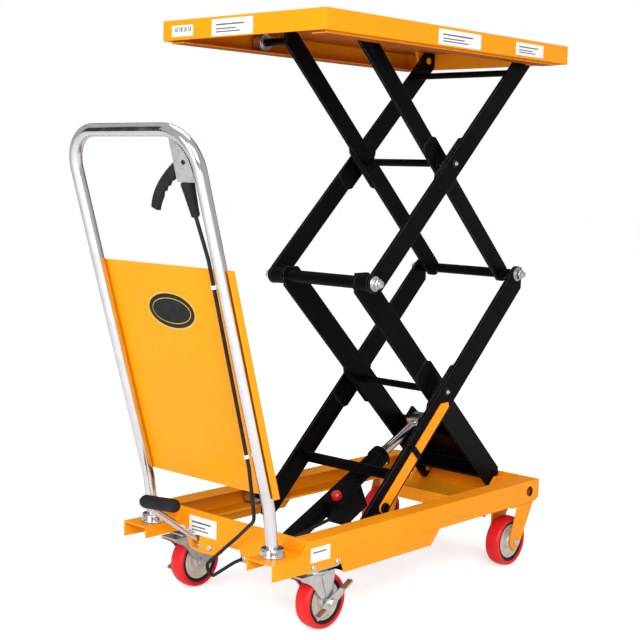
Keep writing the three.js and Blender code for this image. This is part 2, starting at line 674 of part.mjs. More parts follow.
// ---------------------------------------------------------------- wheels and rear casters
const TYRE_INNER_RADIUS = 51.5;
const TYRE_SHOULDER = 7;
const HUB_LIP = 3; // how far the rim of the hub stands in from the tyre's side
const HUB_WEB = 6; // half the thickness of the disc between rim and bearing

function addWheel(label, x, y) {
  const half = WHEEL_WIDTH / 2;
  const rim = WHEEL_RADIUS;
  const tread = [[TYRE_INNER_RADIUS, -half + 2], [rim - TYRE_SHOULDER, -half], [rim, -half + TYRE_SHOULDER],
    [rim, half - TYRE_SHOULDER], [rim - TYRE_SHOULDER, half], [TYRE_INNER_RADIUS, half - 2]];
  addPart(`tyre_${label}`, ringY(x, rim, tread.map(([r, t]) => [r, y + t]), 28), RED_TYRE);
  const bore = AXLE_RADIUS + RUNNING;
  const out = TYRE_INNER_RADIUS - 2 * GAP;
  const lip = half - HUB_LIP;
  const halfProfile = [[out, lip], [42, lip], [42, HUB_WEB], [16, HUB_WEB], [15, half], [bore, half]];
  const hub = [...halfProfile.map(([r, t]) => [r, -t]).reverse(), ...halfProfile];
  addPart(`hub_${label}`, ringY(x, rim, hub.map(([r, t]) => [r, y + t]), 16), PALE_HUB);
}

const CROWN_Z = [129, 133];
const LEG_LAYER = [21, 24.5]; // each fork leg, out from the middle of the wheel
const ROCKER_LAYER = [30.5, 33.5];

function addSwivelCaster(label, side) {
  const y = side * REAR_WHEEL_Y;
  const mountTop = CORNER_BOTTOM - GAP;
  const outline = [[-50, -42], [50, -42], [50, 33], [-50, 33]].map(([u, v]) => [SWIVEL_X + u, y + side * v]);
  const plate = plateAlongZ(side > 0 ? outline : outline.reverse(), [mountTop - 4, mountTop]);
  addPart(`caster_plate_${label}`, plate, ZINC);

  const crownTop = mountTop - 4 - GAP;
  const crown = turnedZ(SWIVEL_X, y, [[0, CROWN_Z[0]], [28, CROWN_Z[0]], [30, CROWN_Z[0] + 3],
    [30, crownTop - 2], [27, crownTop], [0, crownTop]], 16);
  const x = REAR_AXLE_X;
  const z = WHEEL_RADIUS;
  const rear = SWIVEL_X - 58;
  const front = SWIVEL_X + 48;
  const legOutline = [[rear, CROWN_Z[1]], [rear, 126], [rear + 30, 112], [rear + 50, 90], [x - 13, z],
    [x - 8, z - 11], [x + 5, z - 12], [x + 13, z - 4], [front - 4, 104], [front, CROWN_Z[1]]];
  const [legIn, legOut] = LEG_LAYER;
  const rockerOut = ROCKER_LAYER[1];
  const legs = [NEAR, FAR].map((s) => plateAlongY(legOutline, sorted(y + s * legIn, y + s * legOut)));
  const bridge = box([rear, front], [y - legOut, y + legOut], CROWN_Z);
  const axle = rodY(x, z, AXLE_RADIUS, sorted(y - side * (legOut + 4), y + side * (rockerOut + 4)), 16);
  const nuts = [NEAR, FAR].map((s) => rodY(x, z, 10, sorted(y + s * (legOut - 1), y + s * (legOut + 5)), 6));
  addPart(`caster_fork_${label}`, join(crown, ...legs, bridge, axle, ...nuts), ZINC);

  addBrake(label, side, y);
}

const ROCKER_FRONT = [-154, 98]; // the rocker points from the axle towards this place
const ROCKER_REACH = { rear: -52, front: 68 };

// The rocker on the outer end of the axle, with one tab to press it on and one to release it.
function addBrake(label, side, y) {
  const { at } = armFrame([REAR_AXLE_X, WHEEL_RADIUS], ROCKER_FRONT);
  const { rear, front } = ROCKER_REACH;
  const [inner, outer] = ROCKER_LAYER;
  const bar = plateAlongY([at(rear, -7), at(-13, -12), at(13, -12), at(front - 4, -7), at(front - 4, 7),
    at(13, 12), at(-13, 12), at(rear, 7)], sorted(y + side * inner, y + side * outer));
  const tab = (from, to) => plateAlongY([at(from, 3), at(to, 3), at(to, 7), at(from, 7)],
    sorted(y + side * inner, y + side * (inner + 14)));
  const hole = rodY(REAR_AXLE_X, WHEEL_RADIUS, AXLE_RADIUS + RUNNING,
    sorted(y + side * (inner - 5), y + side * (outer + 5)), 16);
  const rocker = join(bar, tab(rear, rear + 24), tab(front - 28, front));
  addPart(`brake_rocker_${label}`, cut(rocker, hole), ZINC);
}

// ---------------------------------------------------------------- push handle
const COLLAR_Z = [WING_TOP + GAP, WING_TOP + 20];
const COLLAR_RADIUS = 27;
const HANDLE_CORNER = 84;

function handleRoute() {
  const far = [HANDLE_FOOT, HANDLE_BEND, HANDLE_TOP].map(([x, z]) => [x, HANDLE_Y, z]);
  const near = far.map(([x, y, z]) => [x, -y, z]).reverse();
  return bentRoute([...far, ...near], HANDLE_CORNER, 7);
}

// The chromed tube with a clamp collar at the foot of each leg.
function addHandle() {
  const tube = roundBar(handleRoute(), TUBE_RADIUS, 14);
  const collars = [NEAR, FAR].map((side) => turnedZ(HANDLE_FOOT[0] - 1, side * HANDLE_Y,
    [[0, COLLAR_Z[0]], [COLLAR_RADIUS, COLLAR_Z[0]], [COLLAR_RADIUS, COLLAR_Z[1] - 2],
      [COLLAR_RADIUS - 2, COLLAR_Z[1]], [0, COLLAR_Z[1]]], 16));
  const floor = box([-420, -300], [-240, 240], [100, WING_TOP + GAP]);
  addPart("push_handle", cut(join(tube, ...collars), floor), CHROME);
}

const HANDLE_SLOPE = (HANDLE_TOP[0] - HANDLE_BEND[0]) / (HANDLE_TOP[1] - HANDLE_BEND[1]);
const PANEL_Z = [312, 792];
const PANEL_HALF_WIDTH = 213;
const SHEET = 3;

// Points at a distance in front of the handle legs' centre line, at a height.
function atLeg(offset, z) {
  return [HANDLE_BEND[0] + HANDLE_SLOPE * (z - HANDLE_BEND[1]) + offset * Math.hypot(1, HANDLE_SLOPE), z];
}

// A sheet across the front of the legs, with narrow flanges folded back outside them.
function addPanel() {
  const back = TUBE_RADIUS + 1;
  const strip = (o0, o1, z0, z1) => [atLeg(o0, z0), atLeg(o1, z0), atLeg(o1, z1), atLeg(o0, z1)];
  const [z0, z1] = PANEL_Z;
  const half = PANEL_HALF_WIDTH;
  const sheet = plateAlongY(strip(back, back + SHEET, z0, z1), [-half, half]);
  const flanges = [NEAR, FAR].map((side) => plateAlongY(strip(back - 14, back + SHEET, z0, z1),
    onSide(side, [half - SHEET, half])));
  addPart("handle_panel", join(sheet, ...flanges), AMBER_PAINT);
}

const LEVER_PIVOT = [-158, 1003];
const LEVER_PIN_RADIUS = 4;
const LEVER_LAYER = 5;
const BRACKET_LAYER = [LEVER_LAYER + 1, LEVER_LAYER + 4];
const BRACKET_BOTTOM = 962;
const BRACKET_EDGE = -129; // the upright edge of the bracket, towards the middle of the handle
const BRACKET_SPINE = { y: [-178, -172], top: 980 };

// A piece drawn in the plane of the handle, as (y, height) points, between two offsets from it.
function onHandlePlane(points, o0, o1) {
  const stretch = Math.hypot(1, HANDLE_SLOPE);
  const geometry = prism(points, (o1 - o0) * stretch);
  const start = HANDLE_BEND[0] - HANDLE_SLOPE * HANDLE_BEND[1] + o0 * stretch;
  geometry.applyMatrix4(new THREE.Matrix4().set(
    0, HANDLE_SLOPE, 1, start,
    1, 0, 0, 0,
    0, 1, 0, 0,
    0, 0, 0, 1));
  return solid(geometry);
}

// The folded bracket in the near top corner of the handle, cut to the curve of the tube.
function addLeverBracket() {
  const radius = HANDLE_CORNER - TUBE_RADIUS - 4 * GAP;
  const upright = 1 / Math.hypot(1, HANDLE_SLOPE);
  const centre = [-HANDLE_Y + HANDLE_CORNER, HANDLE_TOP[1] - HANDLE_CORNER * upright];
  const outline = [[centre[0] - radius, BRACKET_BOTTOM], [BRACKET_EDGE, BRACKET_BOTTOM]];
  const start = Math.asin((centre[0] - BRACKET_EDGE) / radius);
  const steps = 7;
  for (let i = 0; i <= steps; i += 1) {
    const angle = start + ((Math.PI / 2 - start) * i) / steps;
    outline.push([centre[0] - radius * Math.sin(angle), centre[1] + radius * Math.cos(angle) * upright]);
  }
  const [inner, outer] = BRACKET_LAYER;
  const rear = onHandlePlane(outline, -outer, -inner);
  const front = onHandlePlane(outline, inner, outer);
  const { y: [y0, y1], top } = BRACKET_SPINE;
  const spine = [[y0, BRACKET_BOTTOM], [y1, BRACKET_BOTTOM], [y1, top], [y0, top]];
  const spacer = onHandlePlane(spine, -inner - 1, inner + 1);
  const pin = onHandlePlane(polygon(...LEVER_PIVOT, LEVER_PIN_RADIUS, 10), -inner - 1, inner + 1);
  addPart("lever_bracket", join(front, rear, spacer, pin), ZINC);
}

// The lever's outline: a curved back, finger grooves on its lower side and a round end on the pin.
function leverOutline() {
  const [y, z] = LEVER_PIVOT;
  const back = new THREE.QuadraticBezierCurve(
    new THREE.Vector2(y + 6, z + 12), new THREE.Vector2(y + 108, z - 38), new THREE.Vector2(y + 129, z - 92));
  const grooves = [0.18, 0.66];
  const steps = 28;
  const upper = [];
  const lower = [];
  for (let i = 0; i <= steps; i += 1) {
    const share = i / steps;
    const place = back.getPoint(share);
    const tangent = back.getTangent(share);
    const along = (share - grooves[0]) / (grooves[1] - grooves[0]);
    const groove = along > 0 && along < 1 ? 4 * Math.abs(Math.sin(4 * Math.PI * along)) : 0;
    const width = 25 - 8 * share - groove;
    upper.push([place.x, place.y]);
    lower.push([place.x + tangent.y * width, place.y - tangent.x * width]);
  }
  const heel = polygon(y, z, 14, 16).slice(5, 12);
  return [...upper.reverse(), ...heel, ...lower];
}

function addReleaseLever() {
  const body = onHandlePlane(leverOutline(), -LEVER_LAYER, LEVER_LAYER);
  const holeRadius = LEVER_PIN_RADIUS + 2 * RUNNING;
  const hole = onHandlePlane(polygon(...LEVER_PIVOT, holeRadius, 10), -2 * LEVER_LAYER, 2 * LEVER_LAYER);
  addPart("release_lever", cut(body, hole), BLACK_RUBBER);
}

// ---------------------------------------------------------------- release cable
// The outer cable of the release lever: down the near leg, round a loop behind the frame, through
// the cross plate and over the cylinder's beam to the pump.
function addCable() {
  const [entryY, entryZ] = CABLE_ENTRY;
  const places = [
    [-560, -150, 930], [-549, -153, 895], [-531, -171, 812], [-408, -171, 376], [-384, -166, 262],
    [-330, -62, 196], [-304, 68, 98], [-303, 50, 74], [-316, entryY, entryZ], [-270, entryY, entryZ],
    [-225, -50, 153], [-150, -52, 156], [-16, -50, 176]];
  addPart("release_cable", roundBar(bentRoute(places, 34, 4), CABLE_RADIUS, 8), BLACK_RUBBER);
}

// ---------------------------------------------------------------- pedal
const PEDAL_ROD_RADIUS = 8;
const PEDAL_ELBOW = [-441, 144, 257];
const PEDAL_TIP = [-441, 20, 267];
const PEDAL_BEND = 20;
const GRIP_RADIUS = 15;

// A bent round bar: it leaves the pivot inside the frame, rises rearward and turns across the table.
function addPedal() {
  const [px, pz] = PEDAL_PIVOT;
  const route = bentRoute([[px, PEDAL_Y, pz], PEDAL_ELBOW, PEDAL_TIP], PEDAL_BEND, 5);
  const rod = roundBar(route, PEDAL_ROD_RADIUS, 12);
  const hub = rodY(px, pz, 12, [PEDAL_Y - 14, PEDAL_Y + 14], 16);
  const bore = rodY(px, pz, 5 + RUNNING, [PEDAL_Y - 20, PEDAL_Y + 20], 12);
  addPart("pedal_bar", cut(join(rod, hub), bore), CHROME);

  const elbow = new THREE.Vector3(...PEDAL_ELBOW);
  const reach = elbow.distanceTo(new THREE.Vector3(...PEDAL_TIP));
  const bar = PEDAL_ROD_RADIUS + GAP;
  const sleeve = [[bar, PEDAL_BEND + 2], [GRIP_RADIUS - 1, PEDAL_BEND + 2], [GRIP_RADIUS, PEDAL_BEND + 6],
    [GRIP_RADIUS, reach], [GRIP_RADIUS - 4, reach + 7], [0, reach + 7], [0, reach + GAP], [bar, reach + GAP],
    [bar, PEDAL_BEND + 2]];
  const grip = new THREE.LatheGeometry(sleeve.map(([r, s]) => new THREE.Vector2(r, s)), 16);
  const lean = new THREE.Vector3(...PEDAL_TIP).sub(elbow).normalize();
  grip.applyQuaternion(new THREE.Quaternion().setFromUnitVectors(new THREE.Vector3(0, 1, 0), lean));
  grip.translate(...PEDAL_ELBOW);
  addPart("pedal_grip", solid(grip), BLACK_RUBBER);
}

// ---------------------------------------------------------------- hydraulic cylinder
const BARREL_RADIUS = 22;
const BARREL_LENGTH = 398;
const ROD_RADIUS = 12.5;
const ROD_BORE = 14;

function cylinderLine() {
  const rodPin = armFrame(BASE_FRONT, MID_REAR).at(ROD_PIN_ALONG_ARM, 0);
  return armFrame(CYLINDER_FOOT, rodPin);
}

// Turns a piece drawn along +X from the origin onto the cylinder's line.
function onCylinder(geometry) {
  const { at } = cylinderLine();
  const tip = at(1, 0);
  const lift = Math.atan2(tip[1] - CYLINDER_FOOT[1], tip[0] - CYLINDER_FOOT[0]);
  geometry.rotateY(-lift);
  geometry.translate(CYLINDER_FOOT[0], 0, CYLINDER_FOOT[1]);
  return solid(geometry);
}

function turnedAlong(profile, segments = 18) {
  const geometry = new THREE.LatheGeometry(profile.map(([r, s]) => new THREE.Vector2(r, s)), segments);
  geometry.rotateZ(-Math.PI / 2);
  return geometry;
}

function addCylinder() {
  const r = BARREL_RADIUS;
  const mouth = BARREL_LENGTH;
  const barrel = onCylinder(turnedAlong([[0, 26], [r, 26], [r, mouth - 26], [r + 4, mouth - 24],
    [r + 4, mouth], [ROD_BORE, mouth], [ROD_BORE, 205], [0, 205]]));
  const foot = plateAlongY(eyeOutline(cylinderLine(), 0, 40, 18), [-14, 14]);
  const eye = rodY(CYLINDER_FOOT[0], CYLINDER_FOOT[1], PIN_RADIUS + RUNNING, [-20, 20], 16);
  addPart("cylinder_barrel", cut(join(barrel, foot), eye), BLACK_PAINT);

  const { length } = cylinderLine();
  const rod = onCylinder(turnedAlong([[0, length - 236], [ROD_RADIUS, length - 236],
    [ROD_RADIUS, length - 14], [0, length - 14]]));
  const head = plateAlongY(eyeOutline(cylinderLine(), length, length - 30, 17), [-ROD_EYE_HALF, ROD_EYE_HALF]);
  addPart("cylinder_rod", join(rod, head), CHROME);
  addPump();
}

// A block from s1 to a rounded eye centred at s0 on the cylinder's line.
function eyeOutline({ at }, s0, s1, radius) {
  const away = s0 < s1 ? Math.PI : 0;
  const points = [];
  for (let i = 0; i <= 8; i += 1) {
    const angle = away - Math.PI / 2 + (Math.PI * i) / 8;
    points.push(at(s0 + radius * Math.cos(angle), radius * Math.sin(angle)));
  }
  const half = Math.min(radius, 16);
  if (s0 < s1) points.push(at(s1, -half), at(s1, half));
  else points.push(at(s1, half), at(s1, -half));
  return points;
}

const PUMP = { along: [150, 236], across: [-28, 34], y: [-74, -BARREL_RADIUS + 6] };

// The pump and reservoir block beside the barrel.
function addPump() {
  const { at } = cylinderLine();
  const [s0, s1] = PUMP.along;
  const [t0, t1] = PUMP.across;
  const block = plateAlongY([at(s0, t0), at(s1, t0), at(s1, t1), at(s0, t1)], PUMP.y);
  const saddle = onCylinder(turnedAlong([[0, s0 - 10], [BARREL_RADIUS + GAP, s0 - 10],
    [BARREL_RADIUS + GAP, s1 + 10], [0, s1 + 10]]));
  const [bx, bz] = at(s0 + 30, t0 + 2);
  const plunger = onPumpNormal([[0, -26], [10, -26], [10, -20], [7, -20], [7, 0], [0, 0]], bx, -48, bz);
  addPart("pump_block", join(cut(block, saddle), plunger), BLACK_PAINT);

  const [fx, fz] = at(s0 + 22, t1 + GAP);
  const cap = onPumpNormal([[0, 0], [13, 0], [13, 12], [9, 17], [0, 17]], fx, -50, fz);
  addPart("filler_cap", cap, RED_TYRE);
}

// A turned piece whose axis stands square to the cylinder's line.
function onPumpNormal(profile, x, y, z) {
  const { at } = cylinderLine();
  const tip = at(1, 0);
  const lift = Math.atan2(tip[1] - CYLINDER_FOOT[1], tip[0] - CYLINDER_FOOT[0]);
  const geometry = new THREE.LatheGeometry(profile.map(([r, h]) => new THREE.Vector2(r, h)), 16);
  geometry.rotateX(Math.PI / 2);
  geometry.rotateY(-lift);
  geometry.translate(x, y, z);
  return solid(geometry);
}

// The cross beam under the frame, with two ears for the foot of the cylinder.
function addCylinderMount() {
  const reach = BASE_HALF_WIDTH - CHANNEL_WEB - GAP;
  const [x, z] = CYLINDER_FOOT;
  const beam = box([x - 44, x - 19], [-reach, reach], [126, 142]);
  const ears = [NEAR, FAR].map((side) => plateAlongY([[x - 40, z - 14], [x + 8, z - 14], [x + 16, z],
    [x + 8, z + 14], [x - 24, z + 28], [x - 40, z + 28]], onSide(side, [16, 24])));
  const pin = rodY(x, z, PIN_RADIUS, [-28, 28], 16);
  addPart("cylinder_mount", join(beam, ...ears, pin), BLACK_PAINT);
}

// ---------------------------------------------------------------- the whole table
addPlatform();
addUpperOuterArms();
addUpperInnerArms();
addLowerOuterArms();
addLowerInnerArms();
addProp();
addCrossShaft("lower_cross_shaft", CROSS_LOW);
addCrossShaft("upper_cross_shaft", CROSS_HIGH);
addMidRod("mid_rear_tube", MID_REAR, MID_TUBE_RADIUS, TUBE_SPIGOT, 20);
addMidRod("mid_front_rod", MID_FRONT, FRONT_ROD_RADIUS, PIN_RADIUS, FRONT_ROD_RADIUS);
addLowerTieBar();
addUpperTieBar();
addTorsionPlate();

for (const [label, side] of SIDES) {
  addRoller(`lower_roller_${label}`, side, BASE_REAR, LOWER_ROLLER_RADIUS);
  addRoller(`upper_roller_${label}`, side, TOP_REAR, UPPER_ROLLER_RADIUS);
  addSideChannel(label, side);
  addRearCorner(label, side);
  addFrontFork(label, side);
  addWheel(`front_${label}`, FRONT_AXLE_X, side * FRONT_WHEEL_Y);
  addWheel(`rear_${label}`, REAR_AXLE_X, side * REAR_WHEEL_Y);
  addSwivelCaster(label, side);
}

addRearCrossPlate();
addFrontCrossMember();
addCylinderMount();
addCylinder();
addHandle();
addPanel();
addLeverBracket();
addReleaseLever();
addCable();
addPedal();

export default table;
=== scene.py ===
"""Visual model of a two-stage scissor lift table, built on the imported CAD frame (metres, +Z up)."""
import json
import math

import bmesh
import bpy
from mathutils import Matrix, Vector


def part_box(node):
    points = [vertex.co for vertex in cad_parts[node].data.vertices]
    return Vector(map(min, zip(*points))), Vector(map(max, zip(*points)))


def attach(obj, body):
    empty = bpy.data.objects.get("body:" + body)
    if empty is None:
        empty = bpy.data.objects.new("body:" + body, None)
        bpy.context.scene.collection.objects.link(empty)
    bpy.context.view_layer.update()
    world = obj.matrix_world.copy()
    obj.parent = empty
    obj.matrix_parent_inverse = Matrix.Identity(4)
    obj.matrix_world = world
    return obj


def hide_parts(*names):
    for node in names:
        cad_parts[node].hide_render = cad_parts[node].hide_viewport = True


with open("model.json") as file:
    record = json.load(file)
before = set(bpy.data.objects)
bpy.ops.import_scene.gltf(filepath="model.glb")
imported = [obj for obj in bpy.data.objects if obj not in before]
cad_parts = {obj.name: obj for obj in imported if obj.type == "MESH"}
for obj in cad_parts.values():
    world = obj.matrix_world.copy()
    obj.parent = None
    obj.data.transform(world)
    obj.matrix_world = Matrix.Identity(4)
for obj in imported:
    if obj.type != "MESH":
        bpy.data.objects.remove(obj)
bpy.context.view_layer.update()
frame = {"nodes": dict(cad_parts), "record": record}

RECORD = frame["record"]
BODY_OF = {node: body for body, nodes in RECORD["behaviour"]["bodies"].items() for node in nodes}
SLOT_OF = {entry["node"]: entry["material_slot"] for entry in RECORD["subparts"]}
SIDES = (("near", -1), ("far", 1))
CAMERA_PLACE = (-2.2744, -2.0603, 0.9827)
CAMERA_TURN = (47.64, -6.31, 1.456)  # yaw from +Y towards +X, pitch and roll, in degrees
CAMERA_LENS = 73.67
AMBIENT = 0.55
FLOOR_GLOW = 0.5


# ---------------------------------------------------------------- camera, floor and light
def add_camera():
    yaw, pitch, roll = (math.radians(angle) for angle in CAMERA_TURN)
    forward = Vector((math.sin(yaw) * math.cos(pitch), math.cos(yaw) * math.cos(pitch), math.sin(pitch)))
    right = Vector((math.cos(yaw), -math.sin(yaw), 0))
    up = right.cross(forward)
    tilted_right = right * math.cos(roll) + up * math.sin(roll)
    tilted_up = up * math.cos(roll) - right * math.sin(roll)
    turn = Matrix((tilted_right, tilted_up, -forward)).transposed().to_4x4()
    data = bpy.data.cameras.new("camera")
    data.lens = CAMERA_LENS
    camera = bpy.data.objects.new("camera", data)
    camera.matrix_world = Matrix.Translation(CAMERA_PLACE) @ turn
    bpy.context.scene.collection.objects.link(camera)
    bpy.context.scene.camera = camera


def aimed(place, target):
    """A matrix that puts a light or a card at a place and turns it towards a target."""
    place = Vector(place)
    turn = (Vector(target) - place).to_track_quat("-Z", "Y")
    return Matrix.Translation(place) @ turn.to_matrix().to_4x4()


def add_light(name, place, target, width, height, power):
    data = bpy.data.lights.new(name, "AREA")
    data.shape = "RECTANGLE"
    data.size, data.size_y = width, height
    data.energy = power
    light = bpy.data.objects.new(name, data)
    light.matrix_world = aimed(place, target)
    bpy.context.scene.collection.objects.link(light)


def flat_sheet(name, width, height, material):
    bm = bmesh.new()
    bmesh.ops.create_grid(bm, x_segments=1, y_segments=1, size=0.5)
    bmesh.ops.scale(bm, vec=(width, height, 1), verts=bm.verts)
    mesh = bpy.data.meshes.new(name)
    bm.to_mesh(mesh)
    bm.free()
    mesh.materials.append(material)
    sheet = bpy.data.objects.new(name, mesh)
    bpy.context.scene.collection.objects.link(sheet)
    return sheet


def add_flag(name, place, target, width, height, shade):
    """A dark card that only reflections show, so that bright metal gets its dark streaks."""
    material = bpy.data.materials.new(name)
    material.use_nodes = True
    shader = material.node_tree.nodes["Principled BSDF"]
    shader.inputs["Base Color"].default_value = (shade, shade, shade, 1)
    shader.inputs["Roughness"].default_value = 1.0
    flag = flat_sheet(name, width, height, material)
    flag.matrix_world = aimed(place, target)
    flag.visible_camera = False
    flag.visible_diffuse = False
    flag.visible_shadow = False


def add_floor():
    """A pale floor that the camera sees a little brighter, so that it fades into the white backdrop."""
    material = bpy.data.materials.new("floor")
    material.use_nodes = True
    nodes, links = material.node_tree.nodes, material.node_tree.links
    shader = nodes["Principled BSDF"]
    shader.inputs["Base Color"].default_value = (0.9, 0.9, 0.9, 1)
    shader.inputs["Roughness"].default_value = 0.7
    shader.inputs["Specular IOR Level"].default_value = 0.1
    shader.inputs["Emission Color"].default_value = (1, 1, 1, 1)
    path = nodes.new("ShaderNodeLightPath")
    glow = nodes.new("ShaderNodeMath")
    glow.operation = "MULTIPLY"
    glow.inputs[1].default_value = FLOOR_GLOW
    links.new(path.outputs["Is Camera Ray"], glow.inputs[0])
    links.new(glow.outputs[0], shader.inputs["Emission Strength"])
    floor = flat_sheet("floor", 60, 60, material)
    floor.location.z = -0.0005


def add_world():
    world = bpy.data.worlds.new("studio")
    world.use_nodes = True
    nodes, links = world.node_tree.nodes, world.node_tree.links
    nodes.clear()
    lighting = nodes.new("ShaderNodeBackground")
    lighting.inputs["Strength"].default_value = AMBIENT
    backdrop = nodes.new("ShaderNodeBackground")
    backdrop.inputs["Strength"].default_value = 1.0
    for node in (lighting, backdrop):
        node.inputs["Color"].default_value = (1, 1, 1, 1)
    path = nodes.new("ShaderNodeLightPath")
    mix = nodes.new("ShaderNodeMixShader")
    output = nodes.new("ShaderNodeOutputWorld")
    links.new(path.outputs["Is Camera Ray"], mix.inputs[0])
    links.new(lighting.outputs[0], mix.inputs[1])
    links.new(backdrop.outputs[0], mix.inputs[2])
    links.new(mix.outputs[0], output.inputs["Surface"])
    bpy.context.scene.world = world


def add_studio():
    middle = (0, 0, 0.6)
    add_floor()
    add_world()
    add_light("key", (-2.6, -3.0, 2.4), middle, 2.2, 2.2, 132)
    add_light("side", (-4.2, -0.6, 1.4), middle, 1.6, 2.4, 60)
    add_light("top", (0.3, 0.2, 4.2), middle, 2.6, 2.6, 60)
    add_flag("flag_front", (-2.9, -2.2, 1.3), middle, 0.42, 3.2, 0.02)
    add_flag("flag_behind", (2.0, 1.8, 1.0), middle, 5.0, 3.4, 0.05)
    add_flag("flag_left", (-2.6, 2.6, 1.2), middle, 0.8, 3.2, 0.03)
    bpy.context.scene.view_settings.view_transform = "Standard"


# ---------------------------------------------------------------- materials
class Surface:
    """A Principled material with the few procedural layers that painted metal, plate and rubber share."""

    def __init__(self, name, color, roughness, metallic=0.0, coat=0.0, specular=0.5):
        self.material = bpy.data.materials.new(name)
        self.material.use_nodes = True
        self.nodes = self.material.node_tree.nodes
        self.links = self.material.node_tree.links
        self.shader = self.nodes["Principled BSDF"]
        self.shader.inputs["Metallic"].default_value = metallic
        self.shader.inputs["Coat Weight"].default_value = coat
        self.shader.inputs["Specular IOR Level"].default_value = specular
        self.shader.inputs["Coat Roughness"].default_value = 0.12
        self.coordinates = self.nodes.new("ShaderNodeTexCoord").outputs["Object"]
        self.color = self._constant(color)
        self.roughness = roughness

    def _constant(self, color):
        node = self.nodes.new("ShaderNodeRGB")
        node.outputs[0].default_value = (*color, 1)
        return node.outputs[0]

    def noise(self, scale, detail=3.0):
        node = self.nodes.new("ShaderNodeTexNoise")
        node.inputs["Scale"].default_value = scale
        node.inputs["Detail"].default_value = detail
        self.links.new(self.coordinates, node.inputs["Vector"])
        return node.outputs["Fac"]

    def ramp(self, value, low, high, bottom=0.0, top=1.0):
        node = self.nodes.new("ShaderNodeMapRange")
        for socket, number in zip(("From Min", "From Max", "To Min", "To Max"), (low, high, bottom, top)):
            node.inputs[socket].default_value = number
        self.links.new(value, node.inputs["Value"])
        return node.outputs[0]

    def blend(self, mask, color):
        """Lays a colour over the base where the mask is high."""
        node = self.nodes.new("ShaderNodeMix")
        node.data_type = "RGBA"
        self.links.new(mask, node.inputs["Factor"])
        self.links.new(self.color, node.inputs["A"])
        node.inputs["B"].default_value = (*color, 1)
        self.color = node.outputs["Result"]
        return self

    def vary_color(self, scale, color, amount):
        return self.blend(self.ramp(self.noise(scale), 0.4, 0.75, 0.0, amount), color)

    def edge_mask(self, radius):
        """High where a rounded edge turns away from its own face."""
        bevel = self.nodes.new("ShaderNodeBevel")
        bevel.samples = 4
        bevel.inputs["Radius"].default_value = radius
        geometry = self.nodes.new("ShaderNodeNewGeometry")
        dot = self.nodes.new("ShaderNodeVectorMath")
        dot.operation = "DOT_PRODUCT"
        self.links.new(bevel.outputs[0], dot.inputs[0])
        self.links.new(geometry.outputs["Normal"], dot.inputs[1])
        return self.ramp(dot.outputs["Value"], 0.99, 0.86)

    # Lighter colour on the rounded edges, broken up by noise: partly edge wear, partly painted highlight.
    def paint_edge_wear_and_highlight(self, radius, color, amount):
        broken = self.ramp(self.noise(34.0, 4.0), 0.35, 0.65, 0.35, 1.0)
        product = self.nodes.new("ShaderNodeMath")
        product.operation = "MULTIPLY"
        self.links.new(self.edge_mask(radius), product.inputs[0])
        self.links.new(broken, product.inputs[1])
        return self.blend(self.ramp(product.outputs[0], 0.0, 1.0, 0.0, amount), color)

    def paint_shade_on_undersides(self, color, amount):
        """Painted shade: a darker, redder colour laid over the faces that point down."""
        geometry = self.nodes.new("ShaderNodeNewGeometry")
        split = self.nodes.new("ShaderNodeSeparateXYZ")
        self.links.new(geometry.outputs["Normal"], split.inputs[0])
        return self.blend(self.ramp(split.outputs["Z"], -0.4, -0.9, 0.0, amount), color)

    def vary_roughness(self, scale, spread):
        low, high = self.roughness - spread, self.roughness + spread
        value = self.ramp(self.noise(scale, 4.0), 0.3, 0.7, low, high)
        self.links.new(value, self.shader.inputs["Roughness"])
        return self

    def bump(self, scale, depth, strength):
        node = self.nodes.new("ShaderNodeBump")
        node.inputs["Distance"].default_value = depth
        node.inputs["Strength"].default_value = strength
        self.links.new(self.noise(scale, 2.0), node.inputs["Height"])
        self.links.new(node.outputs["Normal"], self.shader.inputs["Normal"])
        return self

    def finish(self):
        self.links.new(self.color, self.shader.inputs["Base Color"])
        return self.material


def amber_paint():
    surface = Surface("amber_paint", (0.92, 0.315, 0.004), 0.34, specular=0.14)
    surface.vary_color(2.5, (0.86, 0.262, 0.003), 0.5).vary_color(60.0, (0.96, 0.33, 0.008), 0.25)
    # Edges: a lighter, yellower amber, partly wear and partly painted highlight.
    # Painted shade: the faces that point down get a dark red colour.
    surface.paint_edge_wear_and_highlight(0.0012, (1.0, 0.50, 0.10), 0.5).paint_shade_on_undersides((0.30, 0.055, 0.004), 0.85)
    return surface.vary_roughness(18.0, 0.06).bump(420.0, 0.00008, 0.35).finish()


def black_paint():
    surface = Surface("black_paint", (0.0022, 0.0022, 0.0027), 0.36, specular=0.04)
    surface.vary_color(9.0, (0.005, 0.005, 0.006), 0.6)
    # Edges: light grey, partly worn paint and partly painted highlight.
    surface.paint_edge_wear_and_highlight(0.0012, (0.24, 0.24, 0.25), 0.7)
    return surface.vary_roughness(14.0, 0.08).bump(380.0, 0.0001, 0.4).finish()


def chrome():
    surface = Surface("chrome", (0.70, 0.70, 0.715), 0.13, metallic=1.0)
    surface.vary_color(26.0, (0.54, 0.54, 0.56), 0.5)
    return surface.vary_roughness(30.0, 0.05).bump(300.0, 0.00004, 0.2).finish()


def zinc():
    surface = Surface("zinc", (0.60, 0.615, 0.61), 0.36, metallic=0.9)
    # Edges: brighter zinc, partly rubbed metal and partly painted highlight.
    surface.vary_color(45.0, (0.36, 0.36, 0.34), 0.7).paint_edge_wear_and_highlight(0.0008, (0.85, 0.85, 0.85), 0.5)
    return surface.vary_roughness(60.0, 0.1).bump(260.0, 0.00008, 0.35).finish()


def red_tyre():
    surface = Surface("red_tyre", (0.74, 0.010, 0.012), 0.36, specular=0.3)
    surface.vary_color(22.0, (0.52, 0.006, 0.010), 0.5)
    return surface.vary_roughness(40.0, 0.08).bump(240.0, 0.0001, 0.3).finish()


